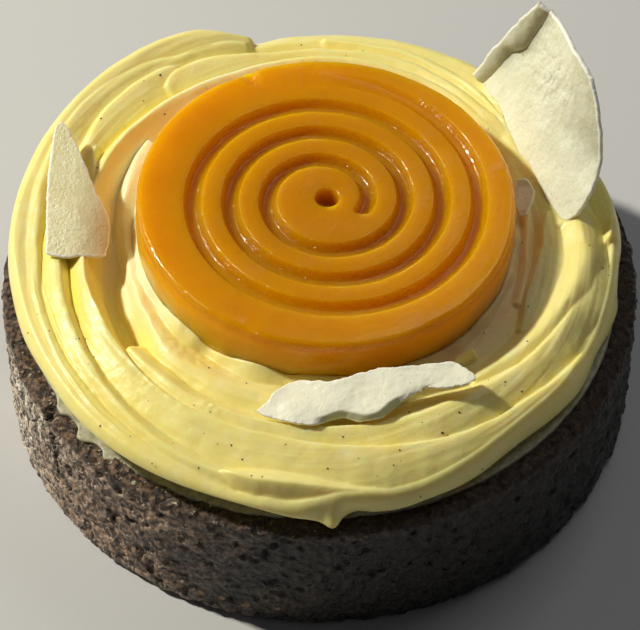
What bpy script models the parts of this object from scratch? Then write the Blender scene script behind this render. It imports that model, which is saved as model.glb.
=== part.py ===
"""Cocoa coconut tart: a straight-sided cocoa shell, a pale filling, piped vanilla
cream, a gel disc with a spiral groove, and coconut chips standing in the cream.

The origin is the centre of the shell's foot, +Z is up, and the side with the
lying coconut chip faces -Y. Sizes in the constants are in millimetres.
"""

import math

import bmesh
import bpy
import numpy as np
from mathutils import Matrix, Vector

MM = 0.001
GAP = 0.3
WELD = 0.01
CUT_MARGIN = 1.0

# Shell, baked in a straight ring
SHELL_RADIUS = 40.0
SHELL_HEIGHT = 19.0
SHELL_WALL = 2.8
SHELL_FLOOR = 3.0
FOOT_ROUND = 0.9
RIM_ROUND = 0.5
RIM_INSET = 0.3
RIM_CRUMBLE = 0.2
RIM_WAVES = (3, 5, 8, 13, 21, 34)
SHELL_STEPS = 96
FILLING_STEPS = 72
FILLING_SHOULDER = 0.6
FILLING_FLAT = 4.0
CRACK_ANGLE = 215.0
CRACK_DEPTH = 1.4
CRACK_WIDTH = 1.0
CRACK_LENGTH = 10.0
CRACK_LEAN = 11.0

# Gel disc, a little off the centre and lower on its right
DISC_RADIUS = 23.6
DISC_THICK = 6.5
DISC_TOP = 30.9
DISC_CENTRE = (0.9, 2.8)
DISC_TILT = math.atan(0.037)
DISC_EDGE_ROUND = 0.9
DISC_SIDES = 72
HOLE_RADIUS = 1.5
HOLE_DEPTH = 2.0
HOLE_SIDES = 16
GROOVE_RADIUS = 1.1
GROOVE_START = 5.0
GROOVE_PITCH = 4.6
GROOVE_FIRST = -20.0
GROOVE_LAST = 1180.0
GROOVE_FADE = 90.0
GROOVE_STEP = 12.0

# Piped cream: its underside, bulging side and shoulder, and the level between ribbons
CREAM_UNDERSIDE = SHELL_HEIGHT + GAP + RIM_CRUMBLE
CREAM_TUCK = 0.6
CREAM_EDGE_HEIGHT = 20.3
CREAM_SIDE_SHARES = (0.4, 0.75)
CREAM_BULGE = 0.5
CREAM_FLAT = 23.6
CREAM_SINK = 1.2
CREAM_SINK_FROM = 33.0
CREAM_SINK_WIDTH = 5.5
CREAM_STEPS = 144
CREAM_ROWS = 26
CREAM_BED_RING = 0.6
RIBBON_FALL = 1.5
RIBBON_END = 3.0
RIBBON_BLEND = 0.12
SEAM_ANGLE = 103.0

# The cream was read off the photo as if all of it lay on one level plane. The eye's place
# moves a reading along its sight line to its own height, which at the cream's edge is a
# shift along Y by a fixed share of the height.
EYE = (0.05, -246.7, 315.0)
READ_LEVEL = 25.0
SIGHT_SLOPE = 0.81

# The cream's lower edge: angle, radius read and how far in from there its shoulder is
CREAM_EDGE = (
    (103, 35.0, 1.3), (114, 35.9, 0.7), (150, 37.6, 0.7), (177, 38.9, 1.0), (190, 38.7, 1.2),
    (210, 39.0, 1.3), (240, 40.4, 1.3), (256, 41.0, 1.3), (265, 42.3, 1.3), (272, 43.4, 1.3),
    (276, 41.4, 1.3), (284, 41.8, 1.3), (297, 40.8, 1.3), (311, 39.1, 1.3), (328, 38.9, 1.3),
    (345, 38.0, 1.3), (358, 37.2, 1.3), (371, 37.7, 1.2), (390, 36.0, 1.3), (420, 34.5, 1.3),
    (450, 34.0, 1.3), (463, 35.0, 1.3),
)

# Each piped ribbon: inner and outer half width, then its crest as angle and radius read, and height
RIBBONS = {
    "outer": (2.6, 2.4, (
        (103.5, 37.0, 26.0), (106, 37.8, 26.7), (113, 40.0, 27.8), (120, 40.6, 28.1),
        (130, 40.5, 28.0), (142, 39.7, 27.4), (155, 38.6, 26.8), (170, 37.8, 26.1),
        (185, 37.4, 25.6), (225, 37.8, 24.5), (258, 39.0, 23.3), (272, 39.4, 22.9),
        (305, 37.6, 22.7), (335, 37.2, 22.7))),
    "upper": (1.4, 1.4, (
        (104.5, 35.9, 26.0), (120, 37.3, 27.3), (128, 38.6, 27.6), (142, 38.7, 27.4),
        (160, 37.0, 26.7), (182, 35.1, 25.7), (210, 35.5, 25.2), (246, 37.3, 24.0))),
    "second": (1.5, 1.4, (
        (120.5, 35.6, 26.9), (128, 36.4, 27.3), (142, 35.3, 26.9), (152, 34.1, 26.5),
        (166, 33.3, 26.4), (200, 33.1, 26.1), (222, 34.4, 25.6), (246, 36.2, 24.5))),
    "fold": (1.5, 1.0, ((251, 36.1, 24.6), (262, 36.4, 25.1), (278, 37.7, 23.7))),
    "lobe": (1.8, 1.3, (
        (38, 29.9, 26.2), (62, 32.6, 26.2), (90, 33.9, 26.5), (114, 35.0, 27.2), (127, 33.2, 26.7))),
    "middle": (1.2, 1.8, (
        (40, 29.2, 26.0), (75, 31.8, 26.8), (108, 31.6, 27.4), (122, 31.4, 27.6),
        (150, 30.8, 27.0), (190, 29.8, 26.4), (216, 29.6, 26.0), (262, 30.6, 25.3),
        (290, 32.9, 24.9), (316, 34.6, 24.4), (336, 36.9, 23.6))),
    "inner": (1.3, 2.0, (
        (214, 28.0, 25.5), (250, 28.0, 25.6), (280, 28.3, 25.1), (312, 29.8, 25.1),
        (340, 32.2, 25.0), (357, 35.0, 24.4))),
    "right": (1.8, 1.5, (
        (306, 27.6, 24.9), (330, 29.6, 25.1), (350, 32.0, 25.8), (360, 32.9, 26.0), (374, 31.8, 25.6))),
    "back_edge": (2.0, 1.6, ((345, 36.6, 23.6), (372, 37.0, 24.5), (420, 36.1, 25.2), (463, 35.5, 25.3))),
    "back_ridge": (1.2, 1.2, ((397, 30.6, 25.8), (420, 33.9, 25.8), (450, 35.4, 25.4))),
    "mound": (2.2, 1.6, (
        (140, 28.0, 25.8), (155, 26.5, 25.5), (180, 24.0, 24.8), (205, 23.9, 25.1),
        (236, 24.4, 25.1), (280, 24.4, 24.8), (305, 25.0, 24.5))),
    "lump": (1.5, 1.6, ((336, 27.6, 24.6), (350, 27.1, 25.0), (372, 29.4, 25.0))),
    "low_lump": (1.4, 1.4, ((338, 25.9, 24.1), (376, 26.6, 24.5))),
}

# Coconut chips with a sloping plane: start of the lower edge, the way it runs, slope,
# hollow, and the outline as rows of height, left side and right side. The steep ones stand
# in the cream with a foot that follows it; the flat one lies on the ribbons.
CHIP_THICK = 1.2
CHIP_CLEAR = 0.5
CHIP_STEEP = 20.0
CHIP_HOLLOW_RISE = 14.0
CHIP_REACH = 0.8
CHIP_COLUMNS = 7
SLOPING_CHIPS = {
    "coconut_chip_right": ((22.0, 25.2, 25.5), -65.5, 75.0, 1.6, (
        (-0.5, -4.7, 22.6), (4.0, -3.2, 23.8), (8.2, -1.6, 24.2), (12.5, 0.4, 22.8),
        (16.0, 2.0, 19.5), (18.4, 3.2, 16.4))),
    "coconut_chip_left": ((-33.6, -3.2, 27.3), 0.0, 7.5, 0.4, (
        (-0.6, 0.9, 6.0), (0.6, 0.0, 7.3), (4.8, -0.2, 7.5), (8.7, -0.3, 6.0), (12.8, -0.1, 4.4),
        (16.6, 0.1, 2.8), (19.0, 0.8, 1.5))),
    "coconut_fragment": ((24.8, 4.7, 25.0), 0.0, 25.0, 0.0, (
        (0.0, 0.7, 1.4), (1.5, 0.2, 2.0), (3.2, 0.0, 2.2), (4.8, 0.0, 1.3))),
}

# Coconut chip that lies in front of the disc: its ends, then its far and near edges as place
# across, place along Y and height of the underside; then the size and pitch of its waves
LYING_LEFT = -7.8
LYING_RIGHT = 18.4
LYING_FAR = (
    (LYING_LEFT, -26.0, 25.7), (-5.9, -24.2, 25.9), (-2.0, -22.4, 26.4), (0.8, -22.9, 26.8),
    (7.3, -22.0, 27.4), (12.0, -21.1, 27.5), (15.6, -21.0, 27.5), (LYING_RIGHT, -21.9, 27.3),
)
LYING_NEAR = (
    (LYING_LEFT, -26.4, 25.7), (-1.0, -28.9, 25.7), (5.0, -28.1, 25.8), (8.0, -26.3, 26.3),
    (10.5, -24.1, 26.8), (14.8, -23.7, 27.0), (LYING_RIGHT, -22.6, 27.1),
)
LYING_COLUMNS = 18
LYING_ROWS = 5
LYING_WAVE = 0.25
LYING_WAVE_TURN = 0.55
LYING_RIPPLE = 0.15
LYING_RIPPLE_TURN = 0.9


def collection(name):
    made = bpy.data.collections.new(name)
    bpy.context.scene.collection.children.link(made)
    return made


def clear_scene():
    for item in list(bpy.data.objects):
        bpy.data.objects.remove(item, do_unlink=True)


def material(name, colour, roughness):
    made = bpy.data.materials.new(name)
    made.use_nodes = True
    shader = made.node_tree.nodes["Principled BSDF"]
    shader.inputs["Base Color"].default_value = (*colour, 1.0)
    shader.inputs["Roughness"].default_value = roughness
    shader.inputs["Metallic"].default_value = 0.0
    made.diffuse_color = (*colour, 1.0)
    return made


def add_object(name, mesh, group, look=None):
    made = bpy.data.objects.new(name, mesh)
    group.objects.link(made)
    if look is not None:
        mesh.materials.append(look)
    return made


def mesh_object(name, mesh, group, look=None):
    """An object from a bmesh, which is freed."""
    data = bpy.data.meshes.new(name)
    mesh.to_mesh(data)
    mesh.free()
    return add_object(name, data, group, look)


def smooth_path(path, spots):
    """Smooth values along a path; its first column is the angle or the place along a line."""
    keys = np.array(path, dtype=float)
    places = keys[:, 0]
    values = keys[:, 1:]
    slopes = np.gradient(values, places, axis=0)
    index = np.clip(np.searchsorted(places, spots) - 1, 0, len(places) - 2)
    span = places[index + 1] - places[index]
    share = np.clip((spots - places[index]) / span, 0.0, 1.0)[:, None]
    start, end = values[index], values[index + 1]
    leave = slopes[index] * span[:, None]
    arrive = slopes[index + 1] * span[:, None]
    curve = (2 * share**3 - 3 * share**2 + 1) * start + (share**3 - 2 * share**2 + share) * leave
    curve += (3 * share**2 - 2 * share**3) * end + (share**3 - share**2) * arrive
    return curve


def turned(name, profile, steps, group, look):
    """A turned solid; its profile runs up the inside, over the top and down the outer side."""
    data = bpy.data.meshes.new(name)
    edges = [(index, index + 1) for index in range(len(profile) - 1)]
    data.from_pydata([(radius * MM, 0.0, height * MM) for radius, height in profile], edges, [])
    made = add_object(name, data, group, look)
    screw = made.modifiers.new("turn", "SCREW")
    screw.axis = "Z"
    screw.steps = steps
    screw.render_steps = steps
    screw.use_merge_vertices = True
    screw.merge_threshold = WELD * MM
    return made


def make_plain_mesh(body):
    """Replaces an object's mesh by the one that its modifiers give."""
    bpy.context.view_layer.update()
    ready = body.evaluated_get(bpy.context.evaluated_depsgraph_get())
    shape = bpy.data.meshes.new_from_object(ready)
    body.modifiers.clear()
    body.data = shape
    shape.shade_smooth()


def cream_loft(name, rows, group, look):
    """A closed solid lofted through rings of (radius, height) that vary with the angle.

    The first and last rows are single points on the axis, given as heights.
    """
    bottom, rings, top = rows[0], rows[1:-1], rows[-1]
    count = len(rings[0][0])
    turn = np.arange(count) * 2 * math.pi / count
    mesh = bmesh.new()
    low = mesh.verts.new((0.0, 0.0, bottom * MM))
    loops = []
    for radius, height in rings:
        points = zip(radius * np.cos(turn), radius * np.sin(turn), height)
        loops.append([mesh.verts.new((x * MM, y * MM, z * MM)) for x, y, z in points])
    high = mesh.verts.new((0.0, 0.0, top * MM))
    for step in range(count):
        after = (step + 1) % count
        mesh.faces.new((low, loops[0][after], loops[0][step]))
        for here, above in zip(loops, loops[1:]):
            mesh.faces.new((here[step], here[after], above[after], above[step]))
        mesh.faces.new((high, loops[-1][step], loops[-1][after]))
    made = mesh_object(name, mesh, group, look)
    made.data.shade_smooth()
    return made


def cut(target, cutter):
    """Boolean difference, left on the object."""
    cutter.hide_render = True
    cutter.display_type = "WIRE"
    step = target.modifiers.new("cut " + cutter.name, "BOOLEAN")
    step.operation = "DIFFERENCE"
    step.solver = "EXACT"
    step.object = cutter


def uneven(turn, seed):
    """A gentle uneven wave round the rim, between about -1 and 1."""
    random = np.random.default_rng(seed)
    wave = 0.0
    for cycles in RIM_WAVES:
        wave += math.sin(cycles * turn + random.uniform(0, 2 * math.pi)) / math.sqrt(cycles)
    return wave / math.sqrt(len(RIM_WAVES) / 2)


def shell(group, cutters):
    """The cup of the shell: a turned profile, its rim then made uneven, and the crack cut in."""
    inside = SHELL_RADIUS - SHELL_WALL
    rim_out = SHELL_RADIUS - RIM_INSET
    profile = (
        (0.0, SHELL_FLOOR),
        (inside, SHELL_FLOOR),
        (inside, SHELL_HEIGHT - RIM_ROUND),
        (inside + RIM_ROUND, SHELL_HEIGHT),
        (rim_out - RIM_ROUND, SHELL_HEIGHT),
        (rim_out, SHELL_HEIGHT - RIM_ROUND),
        (SHELL_RADIUS, SHELL_HEIGHT - 3 * RIM_ROUND),
        (SHELL_RADIUS, FOOT_ROUND),
        (SHELL_RADIUS - 0.3 * FOOT_ROUND, 0.3 * FOOT_ROUND),
        (SHELL_RADIUS - FOOT_ROUND, 0.0),
        (0.0, 0.0),
    )
    look = material("cocoa crust", (0.045, 0.026, 0.018), 0.85)
    body = turned("tart_shell", profile, SHELL_STEPS, group, look)
    make_plain_mesh(body)
    for vertex in body.data.vertices:
        if vertex.co.z > (SHELL_HEIGHT - 2 * RIM_ROUND) * MM:
            turn = math.atan2(vertex.co.y, vertex.co.x)
            vertex.co.z += RIM_CRUMBLE * MM * uneven(turn, 4)
            if vertex.co.xy.length > (SHELL_RADIUS - SHELL_WALL / 2) * MM:
                vertex.co.xy *= 1.0 + RIM_INSET / SHELL_RADIUS * uneven(turn, 9)
    cut(body, crack_cutter(cutters))
    return body


def crack_cutter(group):
    """A wedge, wide at the rim, that leans along the crack in the wall."""
    mesh = bmesh.new()
    half = CRACK_WIDTH / 2
    top = SHELL_HEIGHT + CUT_MARGIN
    low = SHELL_HEIGHT - CRACK_LENGTH
    back = SHELL_RADIUS - CRACK_DEPTH
    front = SHELL_RADIUS + CUT_MARGIN
    shift = CRACK_LENGTH * math.tan(math.radians(CRACK_LEAN))
    corners = [(front, -half, top), (front, half, top), (back, 0.0, top), (front, shift, low)]
    points = [mesh.verts.new((x * MM, y * MM, z * MM)) for x, y, z in corners]
    for trio in ((0, 1, 2), (0, 3, 1), (1, 3, 2), (2, 3, 0)):
        mesh.faces.new([points[index] for index in trio])
    bmesh.ops.recalc_face_normals(mesh, faces=mesh.faces)
    made = mesh_object("crack cutter", mesh, group)
    made.rotation_euler.z = math.radians(CRACK_ANGLE)
    return made


def filling(group):
    """Pale filling, from the floor of the shell up to the cream."""
    radius = SHELL_RADIUS - SHELL_WALL - GAP
    floor = SHELL_FLOOR + GAP
    top = CREAM_UNDERSIDE - GAP
    profile = (
        (0.0, top),
        (radius - FILLING_FLAT, top),
        (radius - FILLING_SHOULDER, top - FILLING_SHOULDER / 3),
        (radius, top - 4 * FILLING_SHOULDER / 3),
        (radius, floor),
        (0.0, floor),
    )
    look = material("pale filling", (0.42, 0.42, 0.33), 0.6)
    return turned("filling", profile, FILLING_STEPS, group, look)


def true_crest(readings):
    """A crest's readings moved to their own heights, as true angle, radius and height."""
    angle, radius, height = np.array(readings, dtype=float).T
    turn = np.radians(angle)
    share = (height - READ_LEVEL) / (EYE[2] - READ_LEVEL)
    x = radius * np.cos(turn) * (1 - share) + EYE[0] * share
    y = radius * np.sin(turn) * (1 - share) + EYE[1] * share
    true_angle = np.degrees(np.unwrap(np.arctan2(y, x)))
    true_angle += 360.0 * math.ceil(-true_angle[0] / 360.0)
    return np.column_stack([true_angle, np.hypot(x, y), height])


TRUE_RIBBONS = [(inner, outer, true_crest(crest)) for inner, outer, crest in RIBBONS.values()]


def disc_reach(turn, extra):
    """Distance from the tart's axis to the gel disc's edge, in one direction."""
    x, y = DISC_CENTRE
    along = x * np.cos(turn) + y * np.sin(turn)
    across = x * np.sin(turn) - y * np.cos(turn)
    return along + np.sqrt((DISC_RADIUS + extra) ** 2 - across**2)


def disc_level(x, y, drop):
    """Height of a plane parallel to the disc's top and below it."""
    return DISC_TOP - drop - (x - DISC_CENTRE[0]) * math.tan(DISC_TILT)


def cream_height(angle, radius):
    """Height of the piped cream: the highest of the ribbons that pass, softly joined."""
    flat = CREAM_FLAT - CREAM_SINK * np.clip((radius - CREAM_SINK_FROM) / CREAM_SINK_WIDTH, 0.0, 1.0)
    total = np.ones_like(radius)
    for inner, outer, path in TRUE_RIBBONS:
        for turns in (0.0, 360.0):
            spot = angle + turns
            first, last = path[0, 0], path[-1, 0]
            crest = smooth_path(path, spot.ravel()).reshape(*spot.shape, 2)
            outside = np.maximum(first - spot, spot - last)
            sunk = np.clip((outside + RIBBON_END) / RIBBON_END, 0.0, None) ** 2
            away = radius - crest[..., 0]
            width = np.where(away < 0, inner, outer)
            height = crest[..., 1] - RIBBON_FALL * (away / width) ** 2 - sunk
            total += np.exp((height - flat) / RIBBON_BLEND)
    return flat + RIBBON_BLEND * np.log(total)


def cream_shape():
    """Rings of the cream, from its underside round its side and over the ribbons to the bed."""
    turn = np.arange(CREAM_STEPS) * 2 * math.pi / CREAM_STEPS
    angle = np.degrees(turn)
    angle = np.where(angle < SEAM_ANGLE, angle + 360.0, angle)
    ones = np.ones(CREAM_STEPS)
    seen, inset = smooth_path(CREAM_EDGE, angle).T
    edge = seen + (READ_LEVEL - CREAM_EDGE_HEIGHT) * SIGHT_SLOPE * np.sin(turn)
    base = np.where(angle >= 360.0, angle - 360.0, angle)
    shoulder = edge - inset
    crown = cream_height(base, shoulder)
    rings = [(edge - CREAM_TUCK, ones * CREAM_UNDERSIDE), (edge, ones * CREAM_EDGE_HEIGHT)]
    for share in CREAM_SIDE_SHARES:
        out = edge + (shoulder - edge) * share + CREAM_BULGE * (1 - share)
        rings.append((out, CREAM_EDGE_HEIGHT + (crown - CREAM_EDGE_HEIGHT) * share))
    rim = disc_reach(turn, GAP)
    for row in range(CREAM_ROWS + 1):
        radius = shoulder + (rim - shoulder) * row / CREAM_ROWS
        rings.append((radius, cream_height(base, radius)))
    for share in (1.0, CREAM_BED_RING):
        radius = (rim - GAP / 3) * share
        level = disc_level(radius * np.cos(turn), radius * np.sin(turn), DISC_THICK + GAP)
        rings.append((radius, level))
    return rings


def cream(group):
    rings = cream_shape()
    rows = [CREAM_UNDERSIDE] + rings + [disc_level(0.0, 0.0, DISC_THICK + GAP)]
    return cream_loft("cream_swirl", rows, group, material("vanilla cream", (0.83, 0.72, 0.32), 0.45))


def groove_cutter(group):
    """A round cord laid along the spiral, sunk to its centre line in the disc's top."""
    curve = bpy.data.curves.new("groove cutter", "CURVE")
    curve.dimensions = "3D"
    curve.bevel_depth = GROOVE_RADIUS * MM
    curve.bevel_resolution = 1
    curve.use_fill_caps = True
    angles = np.arange(GROOVE_FIRST, GROOVE_LAST + GROOVE_STEP, GROOVE_STEP)
    line = curve.splines.new("POLY")
    line.points.add(len(angles) - 1)
    for point, angle in zip(line.points, angles):
        radius = GROOVE_START + GROOVE_PITCH * angle / 360.0
        rise = GROOVE_RADIUS * max(0.0, (angle - GROOVE_LAST + GROOVE_FADE) / GROOVE_FADE)
        turn = math.radians(angle)
        point.co = (radius * math.cos(turn) * MM, radius * math.sin(turn) * MM, rise * MM, 1.0)
    guide = bpy.data.objects.new("groove guide", curve)
    group.objects.link(guide)
    bpy.context.view_layer.update()
    shape = bpy.data.meshes.new_from_object(guide.evaluated_get(bpy.context.evaluated_depsgraph_get()))
    bpy.data.objects.remove(guide)
    mesh = bmesh.new()
    mesh.from_mesh(shape)
    bmesh.ops.remove_doubles(mesh, verts=mesh.verts, dist=WELD * MM)
    bmesh.ops.recalc_face_normals(mesh, faces=mesh.faces)
    return mesh_object("groove cutter", mesh, group)


def cylinder(name, radius, depth, segments, group, look=None):
    mesh = bmesh.new()
    bmesh.ops.create_cone(
        mesh, cap_ends=True, segments=segments, radius1=radius * MM, radius2=radius * MM, depth=depth * MM)
    return mesh_object(name, mesh, group, look)


def gel_disc(group, cutters):
    """The disc stands on its tilted bed; its cutters hang on it, so that they tilt with it."""
    look = material("orange gel", (0.72, 0.27, 0.0), 0.2)
    body = cylinder("gel_disc", DISC_RADIUS, DISC_THICK, DISC_SIDES, group, look)
    centre = Vector((DISC_CENTRE[0], DISC_CENTRE[1], DISC_TOP - DISC_THICK / 2)) * MM
    body.matrix_world = Matrix.Translation(centre) @ Matrix.Rotation(DISC_TILT, 4, "Y")
    edge = body.modifiers.new("soft edge", "BEVEL")
    edge.width = DISC_EDGE_ROUND * MM
    edge.segments = 2
    edge.limit_method = "ANGLE"
    top = Matrix.Translation(Vector((0.0, 0.0, DISC_THICK / 2)) * MM)
    groove = groove_cutter(cutters)
    hole = cylinder("hole cutter", HOLE_RADIUS, 2 * HOLE_DEPTH, HOLE_SIDES, cutters)
    for cutter in (groove, hole):
        cutter.parent = body
        cutter.matrix_parent_inverse = Matrix.Identity(4)
        cutter.matrix_basis = top
        cut(body, cutter)
    return body


def sheet_solid(name, front, back, group, look):
    """A closed thin solid from two equal grids of points, both faces split into triangles alike."""
    rows, columns = len(front), len(front[0])
    mesh = bmesh.new()
    near = [[mesh.verts.new(Vector(point) * MM) for point in row] for row in front]
    far = [[mesh.verts.new(Vector(point) * MM) for point in row] for row in back]
    for row in range(rows - 1):
        for column in range(columns - 1):
            for side, order in ((near, 1), (far, -1)):
                corner = side[row][column]
                right = side[row][column + 1]
                across = side[row + 1][column + 1]
                up = side[row + 1][column]
                mesh.faces.new((corner, right, across)[::order])
                mesh.faces.new((corner, across, up)[::order])
    rim = [(0, column) for column in range(columns)]
    rim += [(row, columns - 1) for row in range(1, rows)]
    rim += [(rows - 1, column) for column in range(columns - 2, -1, -1)]
    rim += [(row, 0) for row in range(rows - 2, 0, -1)]
    for here, after in zip(rim, rim[1:] + rim[:1]):
        a, b = near[here[0]][here[1]], near[after[0]][after[1]]
        c, d = far[after[0]][after[1]], far[here[0]][here[1]]
        mesh.faces.new((b, a, d))
        mesh.faces.new((b, d, c))
    bmesh.ops.recalc_face_normals(mesh, faces=mesh.faces)
    return mesh_object(name, mesh, group, look)


def cream_top(x, y):
    """Height of the cream at one spot, taken from its highest neighbour."""
    best = 0.0
    for step_x in (-CHIP_REACH, 0.0, CHIP_REACH):
        for step_y in (-CHIP_REACH, 0.0, CHIP_REACH):
            angle = np.array([math.degrees(math.atan2(y + step_y, x + step_x)) % 360.0])
            radius = np.array([math.hypot(x + step_x, y + step_y)])
            best = max(best, float(cream_height(angle, radius)[0]))
    return best


def sloping_chip(name, group, look):
    """A chip on a sloping plane; the lower edge of a steep one follows the cream."""
    foot, heading, lean, bow, sides = SLOPING_CHIPS[name]
    steep = lean > CHIP_STEEP
    heading = math.radians(heading)
    lean = math.radians(lean)
    along = Vector((math.cos(heading), math.sin(heading), 0.0))
    back = Vector((-along.y, along.x, 0.0))
    rise = back * math.cos(lean) + Vector((0.0, 0.0, math.sin(lean)))
    normal = along.cross(rise)
    reach_left = min(row[1] for row in sides)
    reach_right = max(row[2] for row in sides)
    front, rear = [], []
    for index, (height, left, right) in enumerate(sides):
        near_row, far_row = [], []
        for column in range(CHIP_COLUMNS):
            side = left + (right - left) * column / (CHIP_COLUMNS - 1)
            share = 2 * (side - reach_left) / (reach_right - reach_left) - 1
            curve = bow * (share * share - 1) * min(1.0, max(0.0, height / CHIP_HOLLOW_RISE))
            spot = Vector(foot) + along * side + rise * height + normal * curve
            for row, offset in ((near_row, CHIP_THICK / 2), (far_row, -CHIP_THICK / 2)):
                point = spot + normal * offset
                if index == 0 and steep:
                    point.z = cream_top(point.x, point.y) + CHIP_CLEAR
                row.append(point)
        front.append(near_row)
        rear.append(far_row)
    return sheet_solid(name, front, rear, group, look)


def lying_chip(group, look):
    """The wavy chip that lies across the cream in front of the disc."""
    across = np.linspace(LYING_LEFT, LYING_RIGHT, LYING_COLUMNS)
    far_line = smooth_path(LYING_FAR, across)
    near_line = smooth_path(LYING_NEAR, across)
    upper, lower = [], []
    for share in np.linspace(0.0, 1.0, LYING_ROWS):
        top_row, low_row = [], []
        for x, near_spot, far_spot in zip(across, near_line, far_line):
            y, level = near_spot + (far_spot - near_spot) * share
            level += LYING_WAVE * (1 - share) ** 2 * (1 + math.sin(LYING_WAVE_TURN * x))
            level += LYING_RIPPLE * math.sin(LYING_RIPPLE_TURN * x + 1.0)
            low_row.append((x, y, level))
            top_row.append((x, y, level + CHIP_THICK))
        upper.append(top_row)
        lower.append(low_row)
    return sheet_solid("coconut_chip_front", upper, lower, group, look)


def chips(group):
    look = material("dried coconut", (0.80, 0.80, 0.68), 0.6)
    for name in SLOPING_CHIPS:
        sloping_chip(name, group, look)
    lying_chip(group, look)


def build():
    clear_scene()
    parts = collection("cocoa_coconut_tart")
    cutters = collection("cutters")
    shell(parts, cutters)
    filling(parts)
    cream(parts)
    gel_disc(parts, cutters)
    chips(parts)


build()
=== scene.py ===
"""Looks of the cocoa coconut tart, on the frame that the CAD gives.

Sizes in the constants are in millimetres and angles in degrees. The tart's axis is Z,
and -Y is the side that the photo is taken from. Four angles for a zone say where it
starts, is full, starts to fade and ends. Noises are given as height, width and seed.
"""

import math
import random

import bpy
import numpy as np
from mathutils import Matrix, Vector


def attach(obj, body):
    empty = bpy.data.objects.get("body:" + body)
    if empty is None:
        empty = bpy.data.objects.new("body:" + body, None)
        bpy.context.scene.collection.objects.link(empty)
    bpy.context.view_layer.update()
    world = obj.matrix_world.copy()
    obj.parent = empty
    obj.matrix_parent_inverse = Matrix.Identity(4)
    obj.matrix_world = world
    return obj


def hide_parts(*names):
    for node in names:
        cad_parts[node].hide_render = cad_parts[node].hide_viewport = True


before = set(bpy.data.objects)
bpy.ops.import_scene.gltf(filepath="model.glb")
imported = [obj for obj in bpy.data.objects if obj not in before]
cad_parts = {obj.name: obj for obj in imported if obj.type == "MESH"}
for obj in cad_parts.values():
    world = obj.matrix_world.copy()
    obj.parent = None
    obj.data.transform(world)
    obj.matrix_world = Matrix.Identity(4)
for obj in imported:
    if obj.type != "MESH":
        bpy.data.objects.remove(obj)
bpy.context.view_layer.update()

MM = 0.001

# Camera of the photo: its place, its focal length on a 36 mm sensor and its tilt from straight down
EYE = np.array([0.05, -246.7, 315.0])
LENS = 173.05
SENSOR = 36.0
CAMERA_TILT = 39.09

# Lamps: name, azimuth, elevation, distance and width in metres, watts and colour
LAMPS = (
    ("key", 161, 41, 0.75, 0.05, 6.3, (1.0, 0.96, 0.84)),
    ("fill", 50, 55, 0.9, 0.5, 1.1, (1.0, 1.0, 1.0)),
)
LAMP_TARGET = (0.0, 0.0, 20.0)
FLOOR_HALF = 1.5

# Heights and radii that the CAD gives
SHELL_RADIUS = 40.0
SHELL_HEIGHT = 19.0
SHELL_WALL = 2.8
SHELL_FLOOR = 3.0
DISC_RADIUS = 23.6
DISC_THICK = 6.5
DISC_TOP = 30.9
DISC_CENTRE = (0.9, 2.8)
DISC_SLOPE = 0.037

# Ribbons of cream are read off the photo on a level plane, and moved along the sight line
READ_LEVEL = 25.0
SIGHT_SLOPE = 0.81

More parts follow.
